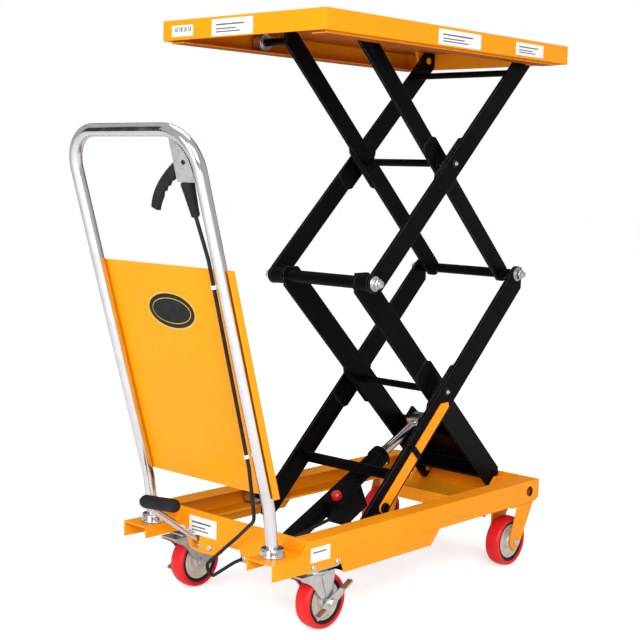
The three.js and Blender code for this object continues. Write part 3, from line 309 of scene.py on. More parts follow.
def pale_hub():
    surface = Surface("pale_hub", (0.66, 0.62, 0.53), 0.38, metallic=0.25)
    surface.vary_color(50.0, (0.42, 0.38, 0.31), 0.7)
    return surface.vary_roughness(50.0, 0.08).bump(300.0, 0.0001, 0.3).finish()


def black_rubber():
    surface = Surface("black_rubber", (0.006, 0.006, 0.0065), 0.58, specular=0.25)
    surface.vary_color(40.0, (0.018, 0.018, 0.019), 0.6)
    return surface.vary_roughness(60.0, 0.1).bump(700.0, 0.0002, 0.4).finish()


def red_plastic():
    surface = Surface("red_plastic", (0.55, 0.008, 0.010), 0.28, coat=0.2)
    surface.vary_color(40.0, (0.38, 0.006, 0.008), 0.4)
    return surface.vary_roughness(50.0, 0.06).bump(400.0, 0.0001, 0.2).finish()


def brown_pad():
    surface = Surface("brown_pad", (0.22, 0.085, 0.05), 0.5)
    surface.vary_color(70.0, (0.13, 0.05, 0.03), 0.7)
    return surface.vary_roughness(60.0, 0.1).bump(500.0, 0.0002, 0.4).finish()


def label_white():
    surface = Surface("label_white", (0.86, 0.86, 0.85), 0.4)
    surface.vary_color(30.0, (0.78, 0.78, 0.77), 0.5)
    return surface.vary_roughness(30.0, 0.05).bump(200.0, 0.00005, 0.2).finish()


def label_ink():
    surface = Surface("label_ink", (0.12, 0.12, 0.13), 0.45)
    surface.vary_color(60.0, (0.2, 0.2, 0.2), 0.5)
    return surface.vary_roughness(30.0, 0.05).bump(200.0, 0.00005, 0.2).finish()


def gold_line():
    surface = Surface("gold_line", (0.80, 0.55, 0.10), 0.3, metallic=0.6)
    surface.vary_color(50.0, (0.7, 0.45, 0.08), 0.5)
    return surface.vary_roughness(30.0, 0.05).bump(300.0, 0.00005, 0.2).finish()


SLOT_MAKERS = (amber_paint, black_paint, chrome, zinc, red_tyre, pale_hub, black_rubber, red_plastic)
SLOT_MATERIALS = {make.__name__: make() for make in SLOT_MAKERS}
BROWN_PAD = brown_pad()
LABEL_WHITE = label_white()
LABEL_INK = label_ink()
GOLD_LINE = gold_line()


# ---------------------------------------------------------------- meshes and pieces
def mesh_from(name, points, faces):
    mesh = bpy.data.meshes.new(name)
    mesh.from_pydata([tuple(p) for p in points], [], faces)
    mesh.update()
    bm = bmesh.new()
    bm.from_mesh(mesh)
    bmesh.ops.recalc_face_normals(bm, faces=bm.faces)
    bm.to_mesh(mesh)
    bm.free()
    return mesh


def add_piece(name, mesh, body, slot, material=None, stands_for=(), sharp=35):
    mesh.shade_smooth()
    mesh.set_sharp_from_angle(angle=math.radians(sharp))
    mesh.materials.clear()
    mesh.materials.append(material or SLOT_MATERIALS[slot])
    piece = bpy.data.objects.new(name, mesh)
    bpy.context.scene.collection.objects.link(piece)
    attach(piece, body)
    if stands_for:
        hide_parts(*stands_for)
    return piece


def ease_edges(piece, width, segments=2):
    bevel = piece.modifiers.new("eased_edges", "BEVEL")
    bevel.width = width
    bevel.segments = segments
    bevel.limit_method = "ANGLE"
    bevel.angle_limit = math.radians(32)
    bevel.harden_normals = True
    return piece


def join_meshes(name, meshes):
    bm = bmesh.new()
    for mesh in meshes:
        bm.from_mesh(mesh)
    joined = bpy.data.meshes.new(name)
    bm.to_mesh(joined)
    bm.free()
    return joined


def flat_patches(bm):
    """Lists of touching faces that lie in one plane."""
    flat = math.cos(math.radians(0.5))
    seen = set()
    patches = []
    for start in bm.faces:
        if start in seen:
            continue
        seen.add(start)
        patch = [start]
        for face in patch:
            for other in (f for edge in face.edges for f in edge.link_faces):
                if other not in seen and face.normal.dot(other.normal) > flat:
                    seen.add(other)
                    patch.append(other)
        patches.append(patch)
    return patches


def is_without_holes(patch):
    corners = {vert for face in patch for vert in face.verts}
    edges = {edge for face in patch for edge in face.edges}
    return len(corners) - len(edges) + len(patch) == 1


def cleaned_copy(node):
    """A CAD node's mesh with its flat faces whole again.  Faces with holes stay in pieces."""
    mesh = frame["nodes"][node].data.copy()
    bm = bmesh.new()
    bm.from_mesh(mesh)
    bmesh.ops.remove_doubles(bm, verts=bm.verts, dist=1e-5)
    for patch in flat_patches(bm):
        if len(patch) > 1 and is_without_holes(patch):
            bmesh.ops.dissolve_faces(bm, faces=patch, use_verts=False)
    bm.to_mesh(mesh)
    bm.free()
    return mesh


def refine(node, width):
    """A CAD plate with rounded edges that catch the light."""
    piece = add_piece(f"{node}_eased", cleaned_copy(node), BODY_OF[node], SLOT_OF[node], stands_for=(node,))
    return ease_edges(piece, width)


def basis(axis):
    axis = Vector(axis).normalized()
    side = Vector((0, 0, 1)).cross(axis)
    if side.length < 1e-3:
        side = Vector((1, 0, 0))
    side.normalize()
    return axis, side, axis.cross(side)


def chamfered(profile, size):
    """A turned profile with a small chamfer in place of each corner."""
    corners = [Vector(point) for point in profile]
    result = [profile[0]]
    for before, here, after in zip(corners, corners[1:], corners[2:]):
        back, ahead = before - here, after - here
        cut = min(size, back.length * 0.4, ahead.length * 0.4)
        if here.x < 1e-6 or back.angle(ahead) > math.radians(150):
            result.append(tuple(here))
            continue
        result.append(tuple(here + back.normalized() * cut))
        result.append(tuple(here + ahead.normalized() * cut))
    result.append(profile[-1])
    return result


def turned(name, centre, axis, profile, segments=48, ring=False, ease=0.0008):
    """A turned solid: its profile is (radius, distance along the axis), from the axis to the axis.
    With ring, the profile closes on itself round a bore."""
    if ease and ring:
        profile = chamfered([*profile, profile[0], profile[1]], ease)[1:-1]
    elif ease:
        profile = chamfered(profile, ease)
    if ring and profile[0] == profile[-1]:
        profile = profile[:-1]
    along, side, up = basis(axis)
    centre = Vector(centre)
    points, rows = [], []
    for radius, distance in profile:
        if radius < 1e-7:
            rows.append([len(points)])
            points.append(centre + along * distance)
            continue
        row = []
        for i in range(segments):
            angle = 2 * math.pi * i / segments
            row.append(len(points))
            spoke = side * math.cos(angle) + up * math.sin(angle)
            points.append(centre + along * distance + spoke * radius)
        rows.append(row)
    pairs = list(zip(rows, rows[1:]))  # neighbouring circles, or a circle and a point on the axis
    if ring:
        pairs.append((rows[-1], rows[0]))
    faces = []
    for first, second in pairs:
        for i in range(segments):
            k = (i + 1) % segments
            if len(first) == 1:
                faces.append((first[0], second[i], second[k]))
            elif len(second) == 1:
                faces.append((first[i], second[0], first[k]))
            else:
                faces.append((first[i], second[i], second[k], first[k]))
    return mesh_from(name, points, faces)


def swept(name, route, radius, sides):
    """A round bar along a route, with closed ends.  The radius is one number, or a tuple of one per point."""
    route = [Vector(p) for p in route]
    sizes = radius if isinstance(radius, tuple) else (radius,) * len(route)
    tangents = []
    for i, point in enumerate(route):
        before = route[max(i - 1, 0)]
        after = route[min(i + 1, len(route) - 1)]
        tangents.append((after - before).normalized())
    _, side, _ = basis(tangents[0])
    points, rows = [], []
    for point, tangent, size in zip(route, tangents, sizes):
        side = (side - tangent * side.dot(tangent)).normalized()
        up = tangent.cross(side)
        row = []
        for k in range(sides):
            angle = 2 * math.pi * k / sides
            row.append(len(points))
            points.append(point + (side * math.cos(angle) + up * math.sin(angle)) * size)
        rows.append(row)
    faces = [tuple(reversed(rows[0])), tuple(rows[-1])]
    for first, second in zip(rows, rows[1:]):
        for k in range(sides):
            n = (k + 1) % sides
            faces.append((first[k], first[n], second[n], second[k]))
    return mesh_from(name, points, faces)


def bent_route(corners, widest, steps):
    """Straight stretches with each corner rounded by an arc, tighter where the stretches are short."""
    points = [Vector(c) for c in corners]
    route = [points[0]]
    for before, here, after in zip(points, points[1:], points[2:]):
        into, out = (here - before).normalized(), (after - here).normalized()
        turn = into.angle(out)
        radius = min(widest, 0.45 * min((here - before).length, (after - here).length) / math.tan(turn / 2))
        start = here - into * radius * math.tan(turn / 2)
        inward = (out - into * into.dot(out)).normalized()
        for k in range(steps + 1):
            angle = turn * k / steps
            route.append(start + inward * radius * (1 - math.cos(angle)) + into * radius * math.sin(angle))
    return [*route, points[-1]]


def plate_along_y(name, points, y0, y1):
    """A plate from an outline of (x, z) points, between two values of y."""
    place = Matrix(((1, 0, 0, 0), (0, 0, 1, y0), (0, 1, 0, 0), (0, 0, 0, 1)))
    return slab(name, points, y1 - y0, place)


def slab(name, outline, depth, place=Matrix.Identity(4)):
    """A flat plate: an outline in x and y, from z = 0 to z = depth, moved by a matrix."""
    count = len(outline)
    points = [place @ Vector((u, v, z)) for z in (0, depth) for u, v in outline]
    faces = [tuple(reversed(range(count))), tuple(range(count, 2 * count))]
    for i in range(count):
        k = (i + 1) % count
        faces.append((i, k, count + k, count + i))
    return mesh_from(name, points, faces)


def facing(place, right, up):
    """A matrix whose x is right, y is up and z is out of the surface."""
    right, up = Vector(right).normalized(), Vector(up).normalized()
    turn = Matrix((right, up, right.cross(up))).transposed().to_4x4()
    return Matrix.Translation(Vector(place)) @ turn


def rectangle(u0, v0, u1, v1):
    return [(u0, v0), (u1, v0), (u1, v1), (u0, v1)]


def ellipse(half_width, half_height, steps=64):
    angles = [2 * math.pi * i / steps for i in range(steps)]
    return [(half_width * math.cos(a), half_height * math.sin(a)) for a in angles]


def hexagon_head(name, centre, axis, flat_radius, height):
    """A hexagon with the rounded crown of a real bolt head."""
    crown = (flat_radius * 0.86, height)
    profile = [(0, 0), (flat_radius, 0), (flat_radius, height * 0.8), crown, (0, height)]
    return turned(name, centre, axis, profile, segments=6, ease=0)


# ---------------------------------------------------------------- places that the linkage gives
def centre_of(node):
    low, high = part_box(node)
    return (low + high) / 2


BASE_REAR = centre_of("lower_roller_near")
MID_REAR = centre_of("mid_rear_tube")
MID_FRONT = centre_of("mid_front_rod")
CROSS_LOW = centre_of("lower_cross_shaft")
CROSS_HIGH = centre_of("upper_cross_shaft")
BASE_FRONT = Vector((MID_FRONT.x, 0, BASE_REAR.z))

# layers across the table, as distances from its centre plane
INNER_ARM = (0.108, 0.116)
OUTER_ARM = (0.152, 0.160)
DOUBLER = 0.004
GAP = 0.0003
PIN_RADIUS = 0.009
SHAFT_END = OUTER_ARM[1] + 0.003


def on_arm(start, end, along, over):
    """A point at a distance along the line from one pin to another and above it, with y = 0."""
    start, end = Vector((start.x, 0, start.z)), Vector((end.x, 0, end.z))
    direction = (end - start).normalized()
    above = Vector((-direction.z, 0, direction.x)) * (1 if direction.x > 0 else -1)
    return start + direction * along + above * over


# ---------------------------------------------------------------- scissor
def add_arms():
    for stage in ("lower", "upper"):
        for layer in ("inner", "outer"):
            for label, _ in SIDES:
                refine(f"{stage}_{layer}_arm_{label}", 0.0011)


def add_turned_across(node, centre, half):
    """A black shaft across the table, from the profile of its far half."""
    profile = [(radius, -y) for radius, y in reversed(half)] + half
    mesh = turned(node, (centre.x, 0, centre.z), (0, 1, 0), profile)
    add_piece(f"{node}_turned", mesh, BODY_OF[node], "black_paint", stands_for=(node,))


def add_cross_members():
    bush_start, bush_end = INNER_ARM[1] + DOUBLER + GAP, OUTER_ARM[0] - DOUBLER - GAP
    for node, centre in (("lower_cross_shaft", CROSS_LOW), ("upper_cross_shaft", CROSS_HIGH)):
        add_turned_across(node, centre, [
            (PIN_RADIUS, bush_start), (0.020, bush_start), (0.020, bush_end), (PIN_RADIUS, bush_end),
            (PIN_RADIUS, SHAFT_END), (0, SHAFT_END)])
    inner_start, inner_end = INNER_ARM[0] - GAP, INNER_ARM[1] + GAP
    outer_start, outer_end = OUTER_ARM[0] - GAP, OUTER_ARM[1] + 0.0005
    for node, centre, tube, neck, boss in (
            ("mid_rear_tube", MID_REAR, 0.015, 0.012, 0.020),
            ("mid_front_rod", MID_FRONT, 0.0125, PIN_RADIUS, 0.0125)):
        add_turned_across(node, centre, [
            (tube, inner_start), (neck, inner_start), (neck, inner_end), (boss, inner_end),
            (boss, outer_start), (PIN_RADIUS, outer_start), (PIN_RADIUS, outer_end), (0, outer_end)])
        for label, side in SIDES:
            add_pivot_nut(f"{node}_nut_{label}", BODY_OF[node], Vector((centre.x, 0, centre.z)), side)


def add_pivot_nut(name, body, centre, side):
    """Two washers, a nut and the end of the bolt, outside the outer arm."""
    out = Vector((0, side, 0))
    face = centre + out * (OUTER_ARM[1] + GAP)
    flat, spring = 0.0024, 0.0048
    stack = [turned(name, face, out, [(0, 0), (0.0175, 0), (0.0175, flat), (0, flat)], ease=0.0005),
             turned(name, face, out, [(0, 0), (0.0128, 0), (0.0128, spring), (0, spring)], ease=0.0005),
             hexagon_head(name, face + out * spring, out, 0.0132, 0.0098)]
    start, pitch, turns = 0.0146, 0.0012, 6
    thread = [(0, start - 0.002)]
    for i in range(turns):
        thread += [(0.0068, start + i * pitch), (0.0076, start + (i + 0.5) * pitch)]
    tip = start + 0.0074
    stack.append(turned(name, face, out, [*thread, (0.0064, tip), (0, tip)], segments=24, ease=0))
    add_piece(name, join_meshes(name, stack), body, "zinc")


def add_grease_nipples():
    """A bright nipple in the end of each pin where two arms cross."""
    profile = [(0, -0.001), (0.0052, -0.001), (0.0052, 0.0018), (0.0030, 0.0032), (0.0034, 0.0052),
               (0.0016, 0.0066), (0, 0.0066)]
    for node, centre in (("lower_cross_shaft", CROSS_LOW), ("upper_cross_shaft", CROSS_HIGH)):
        for label, side in SIDES:
            place = Vector((centre.x, side * SHAFT_END, centre.z))
            mesh = turned("nipple", place, (0, side, 0), profile, segments=20, ease=0)
            add_piece(f"{node}_nipple_{label}", mesh, BODY_OF[node], "zinc")


def add_prop():
    """The safety prop, with a domed head on its pivot."""
    refine("safety_prop", 0.0012)
    pivot = on_arm(BASE_REAR, MID_FRONT, 0.057, -0.016)
    pivot.y = -OUTER_ARM[1] - 0.0066
    profile = [(0, 0), (0.0125, 0), (0.0130, 0.002), (0.0120, 0.006), (0.008, 0.0085), (0, 0.0092)]
    head = turned("prop_pivot_head", pivot, (0, -1, 0), profile, ease=0)
    add_piece("prop_pivot_head", head, "lower_outer", "black_paint")


def add_rollers():
    for stage, radius in (("lower", 0.0225), ("upper", 0.0215)):
        for label, side in SIDES:
            node = f"{stage}_roller_{label}"
            centre = centre_of(node)
            half = 0.014
            front = [(radius, half - 0.0014), (radius - 0.0012, half), (0.0185, half - 0.0012),
                     (0.0160, half - 0.0012), (0.0150, half), (0.0094, half)]
            section = [(r, -y) for r, y in reversed(front)] + front
            mesh = turned(node, centre, (0, 1, 0), section, ring=True, ease=0)
            add_piece(f"{node}_turned", mesh, BODY_OF[node], "zinc", stands_for=(node,))


def add_upper_tie_bar():
    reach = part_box("upper_tie_bar")[1].y
    profile = [(0, -reach), (0.008, -reach), (0.008, reach), (0, reach)]
    mesh = turned("upper_tie_bar", centre_of("upper_tie_bar"), (0, 1, 0), profile)
    add_piece("upper_tie_bar_turned", mesh, "upper_outer", "black_paint", stands_for=("upper_tie_bar",))


# ---------------------------------------------------------------- wheels
TYRE_RADIUS = 0.0635
TYRE_HALF = 0.020
RIM_RADIUS = 0.0515
SWIVEL_X = -0.242
ROCKER_FRONT = (-0.154, 0.098)  # the brake rocker points from the axle towards this (x, z)


def rounded_tread(half, crown):
    """The outer edge of a tyre: two rounded shoulders and an almost flat tread between them."""
    points = []
    steps = 12
    for i in range(steps + 1):
        angle = math.pi * (i / steps - 0.5)
        points.append((TYRE_RADIUS - crown * (1 - math.cos(angle) ** 0.6), math.sin(angle) * half))
    return points


def add_wheel(place, label):
    """A tyre with a rounded tread, a ribbed hub and the black ring between them."""
    tyre, hub = f"tyre_{place}_{label}", f"hub_{place}_{label}"
    centre = centre_of(tyre)
    body = BODY_OF[tyre]
    half = TYRE_HALF
    shoulder = [(0.0545, half - 0.0004), (RIM_RADIUS, half - 0.0020)]
    section = [(r, -y) for r, y in reversed(shoulder)] + rounded_tread(half, 0.0085) + shoulder
    mesh = turned(tyre, centre, (0, 1, 0), section, segments=96, ring=True, ease=0)
    add_piece(f"{tyre}_turned", mesh, body, "red_tyre", stands_for=(tyre,), sharp=60)

    depths = [(0.0430, 0.0050), (0.0400, 0.0050), (0.0385, 0.0090), (0.0360, 0.0105), (0.0345, 0.0092),
              (0.0325, 0.0092), (0.0310, 0.0115), (0.0265, 0.0118), (0.0250, 0.0100), (0.0230, 0.0100),
              (0.0180, 0.0120), (0.0165, 0.0030), (0.0150, 0.0), (0.0064, 0.0)]
    face = [(r, half - depth) for r, depth in depths]
    core = [(r, -y) for r, y in reversed(face)] + face
    mesh = turned(hub, centre, (0, 1, 0), core, segments=72, ring=True, ease=0.0004)
    add_piece(f"{hub}_turned", mesh, body, "pale_hub", stands_for=(hub,))

    rim = RIM_RADIUS - 0.0002
    edge = [(rim, half - 0.0026), (0.0440, half - 0.0040), (0.0425, half - 0.0058)]
    ring = [(r, -y) for r, y in reversed(edge)] + edge
    mesh = turned(f"{hub}_ring", centre, (0, 1, 0), ring, segments=72, ring=True, ease=0.0006)
    add_piece(f"{hub}_ring", mesh, body, "black_rubber")


def add_wheels():
    for place in ("front", "rear"):
        for label, _ in SIDES:
            add_wheel(place, label)


def add_casters():
    for label, side in SIDES:
        refine(f"caster_plate_{label}", 0.0008)
        refine(f"caster_fork_{label}", 0.0009)
        refine(f"brake_rocker_{label}", 0.0007)
        axle = centre_of(f"tyre_rear_{label}")
        body = f"caster_{label}"
        crown = Vector((SWIVEL_X, axle.y, 0))
        race = [(0.0285, 0.1345), (0.0335, 0.1345), (0.0345, 0.137), (0.0335, 0.1395), (0.0285, 0.1395)]
        mesh = turned("race", crown, (0, 0, 1), race, ring=True, ease=0)
        add_piece(f"caster_race_{label}", mesh, body, "zinc")
        for name, out in (("outer", side), ("inner", -side)):
            add_leg_rib(f"caster_rib_{name}_{label}", body, axle, out)
        nut_place = axle + Vector((0, side * 0.0338, 0))
        nut = hexagon_head("nut", nut_place, (0, side, 0), 0.0095, 0.0062)
        add_piece(f"caster_axle_nut_{label}", nut, body, "zinc")
        add_brake_pads(label, side, axle)


def add_leg_rib(name, body, axle, out):
    """The rounded stiffening rib pressed into a fork leg."""
    top, bottom = Vector((-0.232, 0, 0.124)), Vector((-0.217, 0, axle.z + 0.014))
    radius, steps = 0.0052, 8
    face = axle.y + out * 0.0243
    along = (bottom - top).normalized()
    across = Vector((-along.z, 0, along.x))
    outline = []
    for centre, start in ((bottom, 0), (top, math.pi)):
        for i in range(steps + 1):
            angle = start + math.pi * i / steps
            spot = centre + (across * math.cos(angle) + along * math.sin(angle)) * radius
            outline.append((spot.x, spot.z))
    low, high = sorted((face, face + out * 0.0026))
    ease_edges(add_piece(name, plate_along_y(name, outline, low, high), body, "zinc"), 0.0016, 3)


def add_brake_pads(label, side, axle):
    """A worn brown pad on each tab of the brake rocker."""
    pivot = Vector((axle.x, axle.z))
    toward = (Vector(ROCKER_FRONT) - pivot).normalized()
    above = Vector((-toward.y, toward.x))
    inner = axle.y + side * 0.0312
    for name, start, end in (("release", -0.0525, -0.0275), ("press", 0.0395, 0.0685)):
        outline = [pivot + toward * s + above * t for s, t in rectangle(start, 0.0072, end, 0.0094)]
        mesh = plate_along_y("pad", outline, *sorted((inner, inner + side * 0.0136)))
        pad = add_piece(f"brake_pad_{name}_{label}", mesh, f"brake_{label}", "zinc", material=BROWN_PAD)
        ease_edges(pad, 0.0008)


# ---------------------------------------------------------------- base frame
def add_base_frame():
    """The channels and plates, with the weld seams, bushes, bolts and axle heads on them."""
    for label, side in SIDES:
        refine(f"base_channel_{label}", 0.0012)
        refine(f"rear_corner_{label}", 0.0010)
        refine(f"front_fork_{label}", 0.0012)
        low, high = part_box(f"base_channel_{label}")
        face = high.y if side > 0 else low.y
        seam = [(x / 1000, face - side * 0.0004, 0.1582) for x in range(-176, 150, 6)]
        add_piece(f"skirt_weld_{label}", swept("weld", seam, 0.0018, sides=8), "base", "amber_paint")
        hole = Vector((0.540, face - side * 0.004, BASE_FRONT.z))
        section = rectangle(0.0105, 0, 0.0128, 0.0048)
        bush = turned("bush", hole, (0, side, 0), section, ring=True, ease=0.0003)
        add_piece(f"access_bush_{label}", bush, "base", "black_rubber")
        for i, x in enumerate((-0.280, -0.204)):
            bolt = hexagon_head("bolt", Vector((x, face, 0.1560)), (0, side, 0), 0.0072, 0.0048)
            add_piece(f"corner_bolt_{label}_{i}", bolt, "base", "zinc")
        axle = centre_of(f"tyre_front_{label}")
        head = hexagon_head("bolt", Vector((axle.x, face + side * GAP, axle.z)), (0, side, 0), 0.0105, 0.006)
        add_piece(f"front_axle_head_{label}", head, "base", "zinc")
    refine("rear_cross_plate", 0.0011)
    refine("front_cross_member", 0.0011)
    refine("cylinder_mount", 0.0011)
    bolt = hexagon_head("bolt", Vector((-0.293, 0.067, 0.136)), (-1, 0, 0), 0.0078, 0.0052)
    add_piece("rear_plate_bolt", bolt, "base", "zinc")


# ---------------------------------------------------------------- platform
def add_platform():
    refine("platform_deck", 0.0016)
    for label, _ in SIDES:
        refine(f"platform_rail_{label}", 0.0009)
        refine(f"platform_lug_{label}", 0.0011)


# ---------------------------------------------------------------- handle
HANDLE_FOOT = Vector((-0.354, 0, 0.187))
HANDLE_BEND = Vector((-0.369, 0, 0.291))
HANDLE_TOP = Vector((-0.598, 0, 1.063))
HANDLE_Y = 0.192
TUBE_RADIUS = 0.0135
LEAN = (HANDLE_TOP - HANDLE_BEND).normalized()
FRONT = Vector((LEAN.z, 0, -LEAN.x))


def at_leg(height, offset=0.0, y=0.0):
    """A point at a height on the handle's plane, moved forward of it."""
    share = (height - HANDLE_BEND.z) / (HANDLE_TOP.z - HANDLE_BEND.z)
    place = HANDLE_BEND.lerp(HANDLE_TOP, share) + FRONT * offset
    return Vector((place.x, y, place.z))


def add_handle():
    far = [Vector((p.x, HANDLE_Y, p.z)) for p in (HANDLE_FOOT, HANDLE_BEND, HANDLE_TOP)]
    near = [Vector((p.x, -p.y, p.z)) for p in reversed(far)]
    tube = swept("push_handle", bent_route([*far, *near], 0.084, 14), TUBE_RADIUS, sides=40)
    add_piece("push_handle_tube", tube, "base", "chrome", stands_for=("push_handle",))
    for label, side in SIDES:
        foot = Vector((-0.355, side * HANDLE_Y, 0))
        section = [(0.0130, 0.1855), (0.0272, 0.1855), (0.0272, 0.1900), (0.0262, 0.1915), (0.0262, 0.2005),
                   (0.0240, 0.2045), (0.0160, 0.2052), (0.0130, 0.2045)]
        collar = turned("collar", foot, (0, 0, 1), section, segments=64, ring=True)
        add_piece(f"handle_collar_{label}", collar, "base", "chrome")
        profile = [(0, 0), (0.0042, 0), (0.0042, 0.0014), (0.0020, 0.0014), (0.0016, 0.0004), (0, 0.0004)]
        screw_place = foot + Vector((-0.0265, 0, 0.196))
        screw = turned("screw", screw_place, (-1, 0, 0), profile, segments=20, ease=0)
        add_piece(f"collar_screw_{label}", screw, "base", "zinc")


def add_panel():
    """The sheet between the legs, with a plain oval badge built up from four thin layers."""
    refine("handle_panel", 0.0009)
    place = facing(at_leg(0.690, TUBE_RADIUS + 0.001), (0, -1, 0), LEAN)
    layers = (("rim", 0.074, 0.042, 0.0016, GOLD_LINE, 0.0004),
              ("face", 0.0705, 0.0385, 0.0020, None, 0.0004),
              ("line", 0.060, 0.029, 0.0022, GOLD_LINE, 0.0003),
              ("heart", 0.0585, 0.0275, 0.0025, None, 0.0003))
    for label, half_width, half_height, depth, material, ease in layers:
        name = f"badge_{label}"
        mesh = slab(name, ellipse(half_width, half_height), depth, place)
        ease_edges(add_piece(name, mesh, "base", "black_rubber", material=material), ease)


def add_lever():
    refine("lever_bracket", 0.0007)
    refine("release_lever", 0.0026).modifiers["eased_edges"].segments = 4
    pin = at_leg(1.003, -0.0092, -0.158)
    profile = [(0, 0), (0.0048, 0), (0.0046, 0.0012), (0.003, 0.0020), (0, 0.0022)]
    rivet = turned("rivet", pin, -FRONT, profile, segments=24, ease=0)
    add_piece("lever_rivet", rivet, "base", "black_rubber")


CABLE_RADIUS = 0.004
CABLE_ENTRY = (-0.046, 0.1356)  # (y, z) of the hole in the cross plate
CABLE_PLACES = [
    (-0.560, -0.150, 0.930), (-0.549, -0.153, 0.895), (-0.531, -0.171, 0.812), (-0.408, -0.171, 0.376),
    (-0.384, -0.166, 0.262), (-0.330, -0.062, 0.196), (-0.304, 0.068, 0.098), (-0.303, 0.050, 0.074),
    (-0.316, *CABLE_ENTRY), (-0.270, *CABLE_ENTRY), (-0.225, -0.050, 0.153), (-0.150, -0.052, 0.156),
    (-0.016, -0.050, 0.176)]


def add_cable():
    """The cable, its boot under the lever, the ferrule at the cross plate and two clips."""
    route = bent_route(CABLE_PLACES, 0.034, 8)
    cable = swept("release_cable", route, CABLE_RADIUS, sides=16)
    add_piece("release_cable_sheath", cable, "base", "black_rubber", stands_for=("release_cable",))
    top = at_leg(0.963, 0.0, -0.148)
    foot = Vector(CABLE_PLACES[1])
    shares = (0.0, 0.08, 0.35, 0.75, 0.96, 1.0)
    sizes = (0.0138, 0.0142, 0.0122, 0.0098, 0.0088, 0.0060)
    boot = swept("cable_boot", [top.lerp(foot, share) for share in shares], sizes, sides=28)
    add_piece("cable_boot", boot, "base", "black_rubber")
    entry = Vector((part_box("rear_cross_plate")[0].x, *CABLE_ENTRY))
    section = [(0.0042, 0), (0.0082, 0), (0.0082, 0.0055), (0.0066, 0.0060), (0.0060, 0.0105),
               (0.0042, 0.0105)]
    nut = turned("ferrule", entry, (-1, 0, 0), section, segments=24, ring=True, ease=0.0004)
    add_piece("cable_ferrule", nut, "base", "zinc")
    start, end = Vector(CABLE_PLACES[2]), Vector(CABLE_PLACES[3])
    section = rectangle(CABLE_RADIUS + 0.0001, -0.004, CABLE_RADIUS + 0.0016, 0.004)
    for i, height in enumerate((0.758, 0.404)):
        place = start.lerp(end, (start.z - height) / (start.z - end.z))
        band = turned("clip", place, end - start, section, segments=24, ring=True, ease=0.0005)
        add_piece(f"cable_clip_{i}", band, "base", "black_rubber", material=LABEL_WHITE)


# ---------------------------------------------------------------- pedal
PEDAL_PIVOT = Vector((-0.268, 0.113, 0.134))
PEDAL_ELBOW = Vector((-0.441, 0.144, 0.257))
PEDAL_TIP = Vector((-0.441, 0.020, 0.267))


def add_pedal():
    """The bent bar with its hub, and a rubber grip with rings round it."""
    bar = swept("pedal_bar", bent_route([PEDAL_PIVOT, PEDAL_ELBOW, PEDAL_TIP], 0.020, 12), 0.008, sides=32)
    hub = turned("pedal_hub", PEDAL_PIVOT, (0, 1, 0), rectangle(0.0055, -0.014, 0.012, 0.014), ring=True)
    mesh = join_meshes("pedal_bar", [bar, hub])
    add_piece("pedal_bar_bent", mesh, "pedal", "chrome", stands_for=("pedal_bar",))
    reach = (PEDAL_TIP - PEDAL_ELBOW).length
    ribs = [(0, reach + 0.0068), (0.0080, reach + 0.0066), (0.0125, reach + 0.0040), (0.0148, reach - 0.001)]
    count = 26
    start, end = 0.0255, reach - 0.003
    for i in reversed(range(count)):
        place = start + (end - start) * i / count
        ribs += [(0.0150, place + 0.0030), (0.0150, place + 0.0014), (0.0145, place + 0.0004)]
    ribs += [(0.0135, 0.0225), (0.0083, 0.0220), (0.0083, 0.040), (0, 0.040)]
    ribs.reverse()
    grip = turned("pedal_grip", PEDAL_ELBOW, PEDAL_TIP - PEDAL_ELBOW, ribs, ease=0)
    add_piece("pedal_grip_ribbed", grip, "pedal", "black_rubber", stands_for=("pedal_grip",))


# ---------------------------------------------------------------- hydraulics
def add_hydraulics():
    foot = Vector((-0.133, 0, 0.118))
    pin = on_arm(BASE_FRONT, MID_REAR, 0.252, 0.0)
    along = (pin - foot).normalized()
    length = (pin - foot).length
    barrel = [(0, 0.026), (0.022, 0.026), (0.022, 0.372), (0.026, 0.374), (0.026, 0.398), (0.0135, 0.398),
              (0.0135, 0.205), (0, 0.205)]
    mesh = turned("barrel", foot, along, barrel, segments=56)
    add_piece("cylinder_tube", mesh, "cylinder", "black_paint")
    refine("cylinder_barrel", 0.0008)
    start, end = length - 0.236, length - 0.014
    rod = [(0, start), (0.0126, start), (0.0126, end), (0, end)]
    add_piece("cylinder_rod_turned", turned("rod", foot, along, rod), "rod", "chrome")
    refine("cylinder_rod", 0.0008)
    refine("pump_block", 0.0016)
    refine("filler_cap", 0.0010)


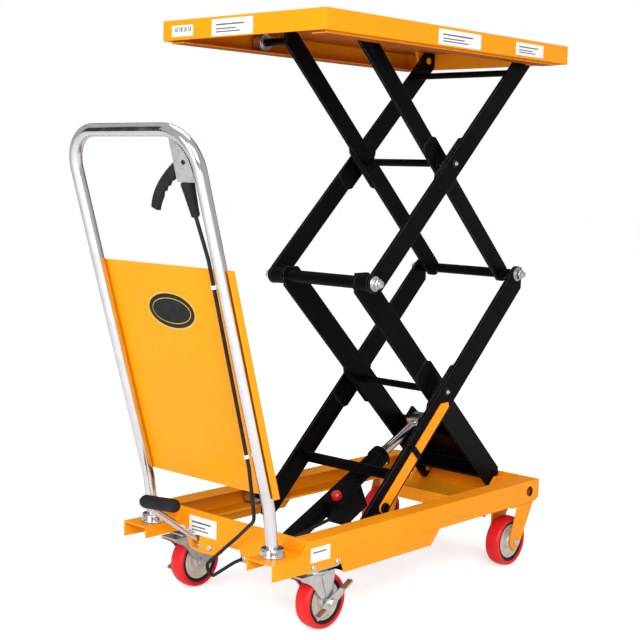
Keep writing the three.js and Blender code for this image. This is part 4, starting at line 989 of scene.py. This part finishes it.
# ---------------------------------------------------------------- labels, plain and generic
def add_label(name, body, place, right, width, height, blocks):
    """A white plate with plain bars on it.  Each bar is (left, bottom, right, top) in shares of the plate."""
    at = facing(place, right, (0, 0, 1))
    plate = slab(name, rectangle(-width / 2, -height / 2, width / 2, height / 2), 0.0003, at)
    add_piece(name, plate, body, "amber_paint", material=LABEL_WHITE)
    for i, (u0, v0, u1, v1) in enumerate(blocks):
        mark = slab(name, rectangle(u0 * width, v0 * height, u1 * width, v1 * height), 0.0005, at)
        add_piece(f"{name}_mark_{i}", mark, body, "amber_paint", material=LABEL_INK)


def add_labels():
    low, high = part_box("platform_deck")
    bars = [(-0.42 + 0.07 * i, -0.1, -0.42 + 0.07 * i + (0.02 + 0.015 * (i % 3)), 0.35) for i in range(12)]
    lines = [(-0.4, 0.12, 0.3, 0.22), (-0.4, -0.12, 0.1, -0.04), (-0.4, -0.3, 0.2, -0.22)]
    rear = low.x - 0.0001
    add_label("label_code", "platform", (rear, 0.184, 1.295), (0, -1, 0), 0.070, 0.024, bars)
    add_label("label_rear", "platform", (rear, 0.024, 1.296), (0, -1, 0), 0.128, 0.036, lines)
    near = low.y - 0.0001
    add_label("label_side", "platform", (0.158, near, 1.296), (1, 0, 0), 0.160, 0.034, lines)
    add_label("label_front", "platform", (0.440, near, 1.296), (1, 0, 0), 0.118, 0.030, lines)
    plate_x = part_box("rear_cross_plate")[0].x - 0.0001
    add_label("label_plate", "base", (plate_x, 0.0915, 0.179), (0, -1, 0), 0.091, 0.042, lines)
    base_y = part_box("base_channel_near")[0].y - 0.0001
    add_label("label_corner", "base", (-0.2575, base_y, 0.182), (1, 0, 0), 0.061, 0.032, lines[:1])


# ---------------------------------------------------------------- the whole picture
add_camera()
add_studio()
add_platform()
add_arms()
add_cross_members()
add_grease_nipples()
add_prop()
add_rollers()
add_upper_tie_bar()
refine("lower_tie_bar", 0.0008)
refine("torsion_plate", 0.0011)
add_wheels()
add_casters()
add_base_frame()
add_handle()
add_panel()
add_lever()
add_cable()
add_pedal()
add_hydraulics()
add_labels()
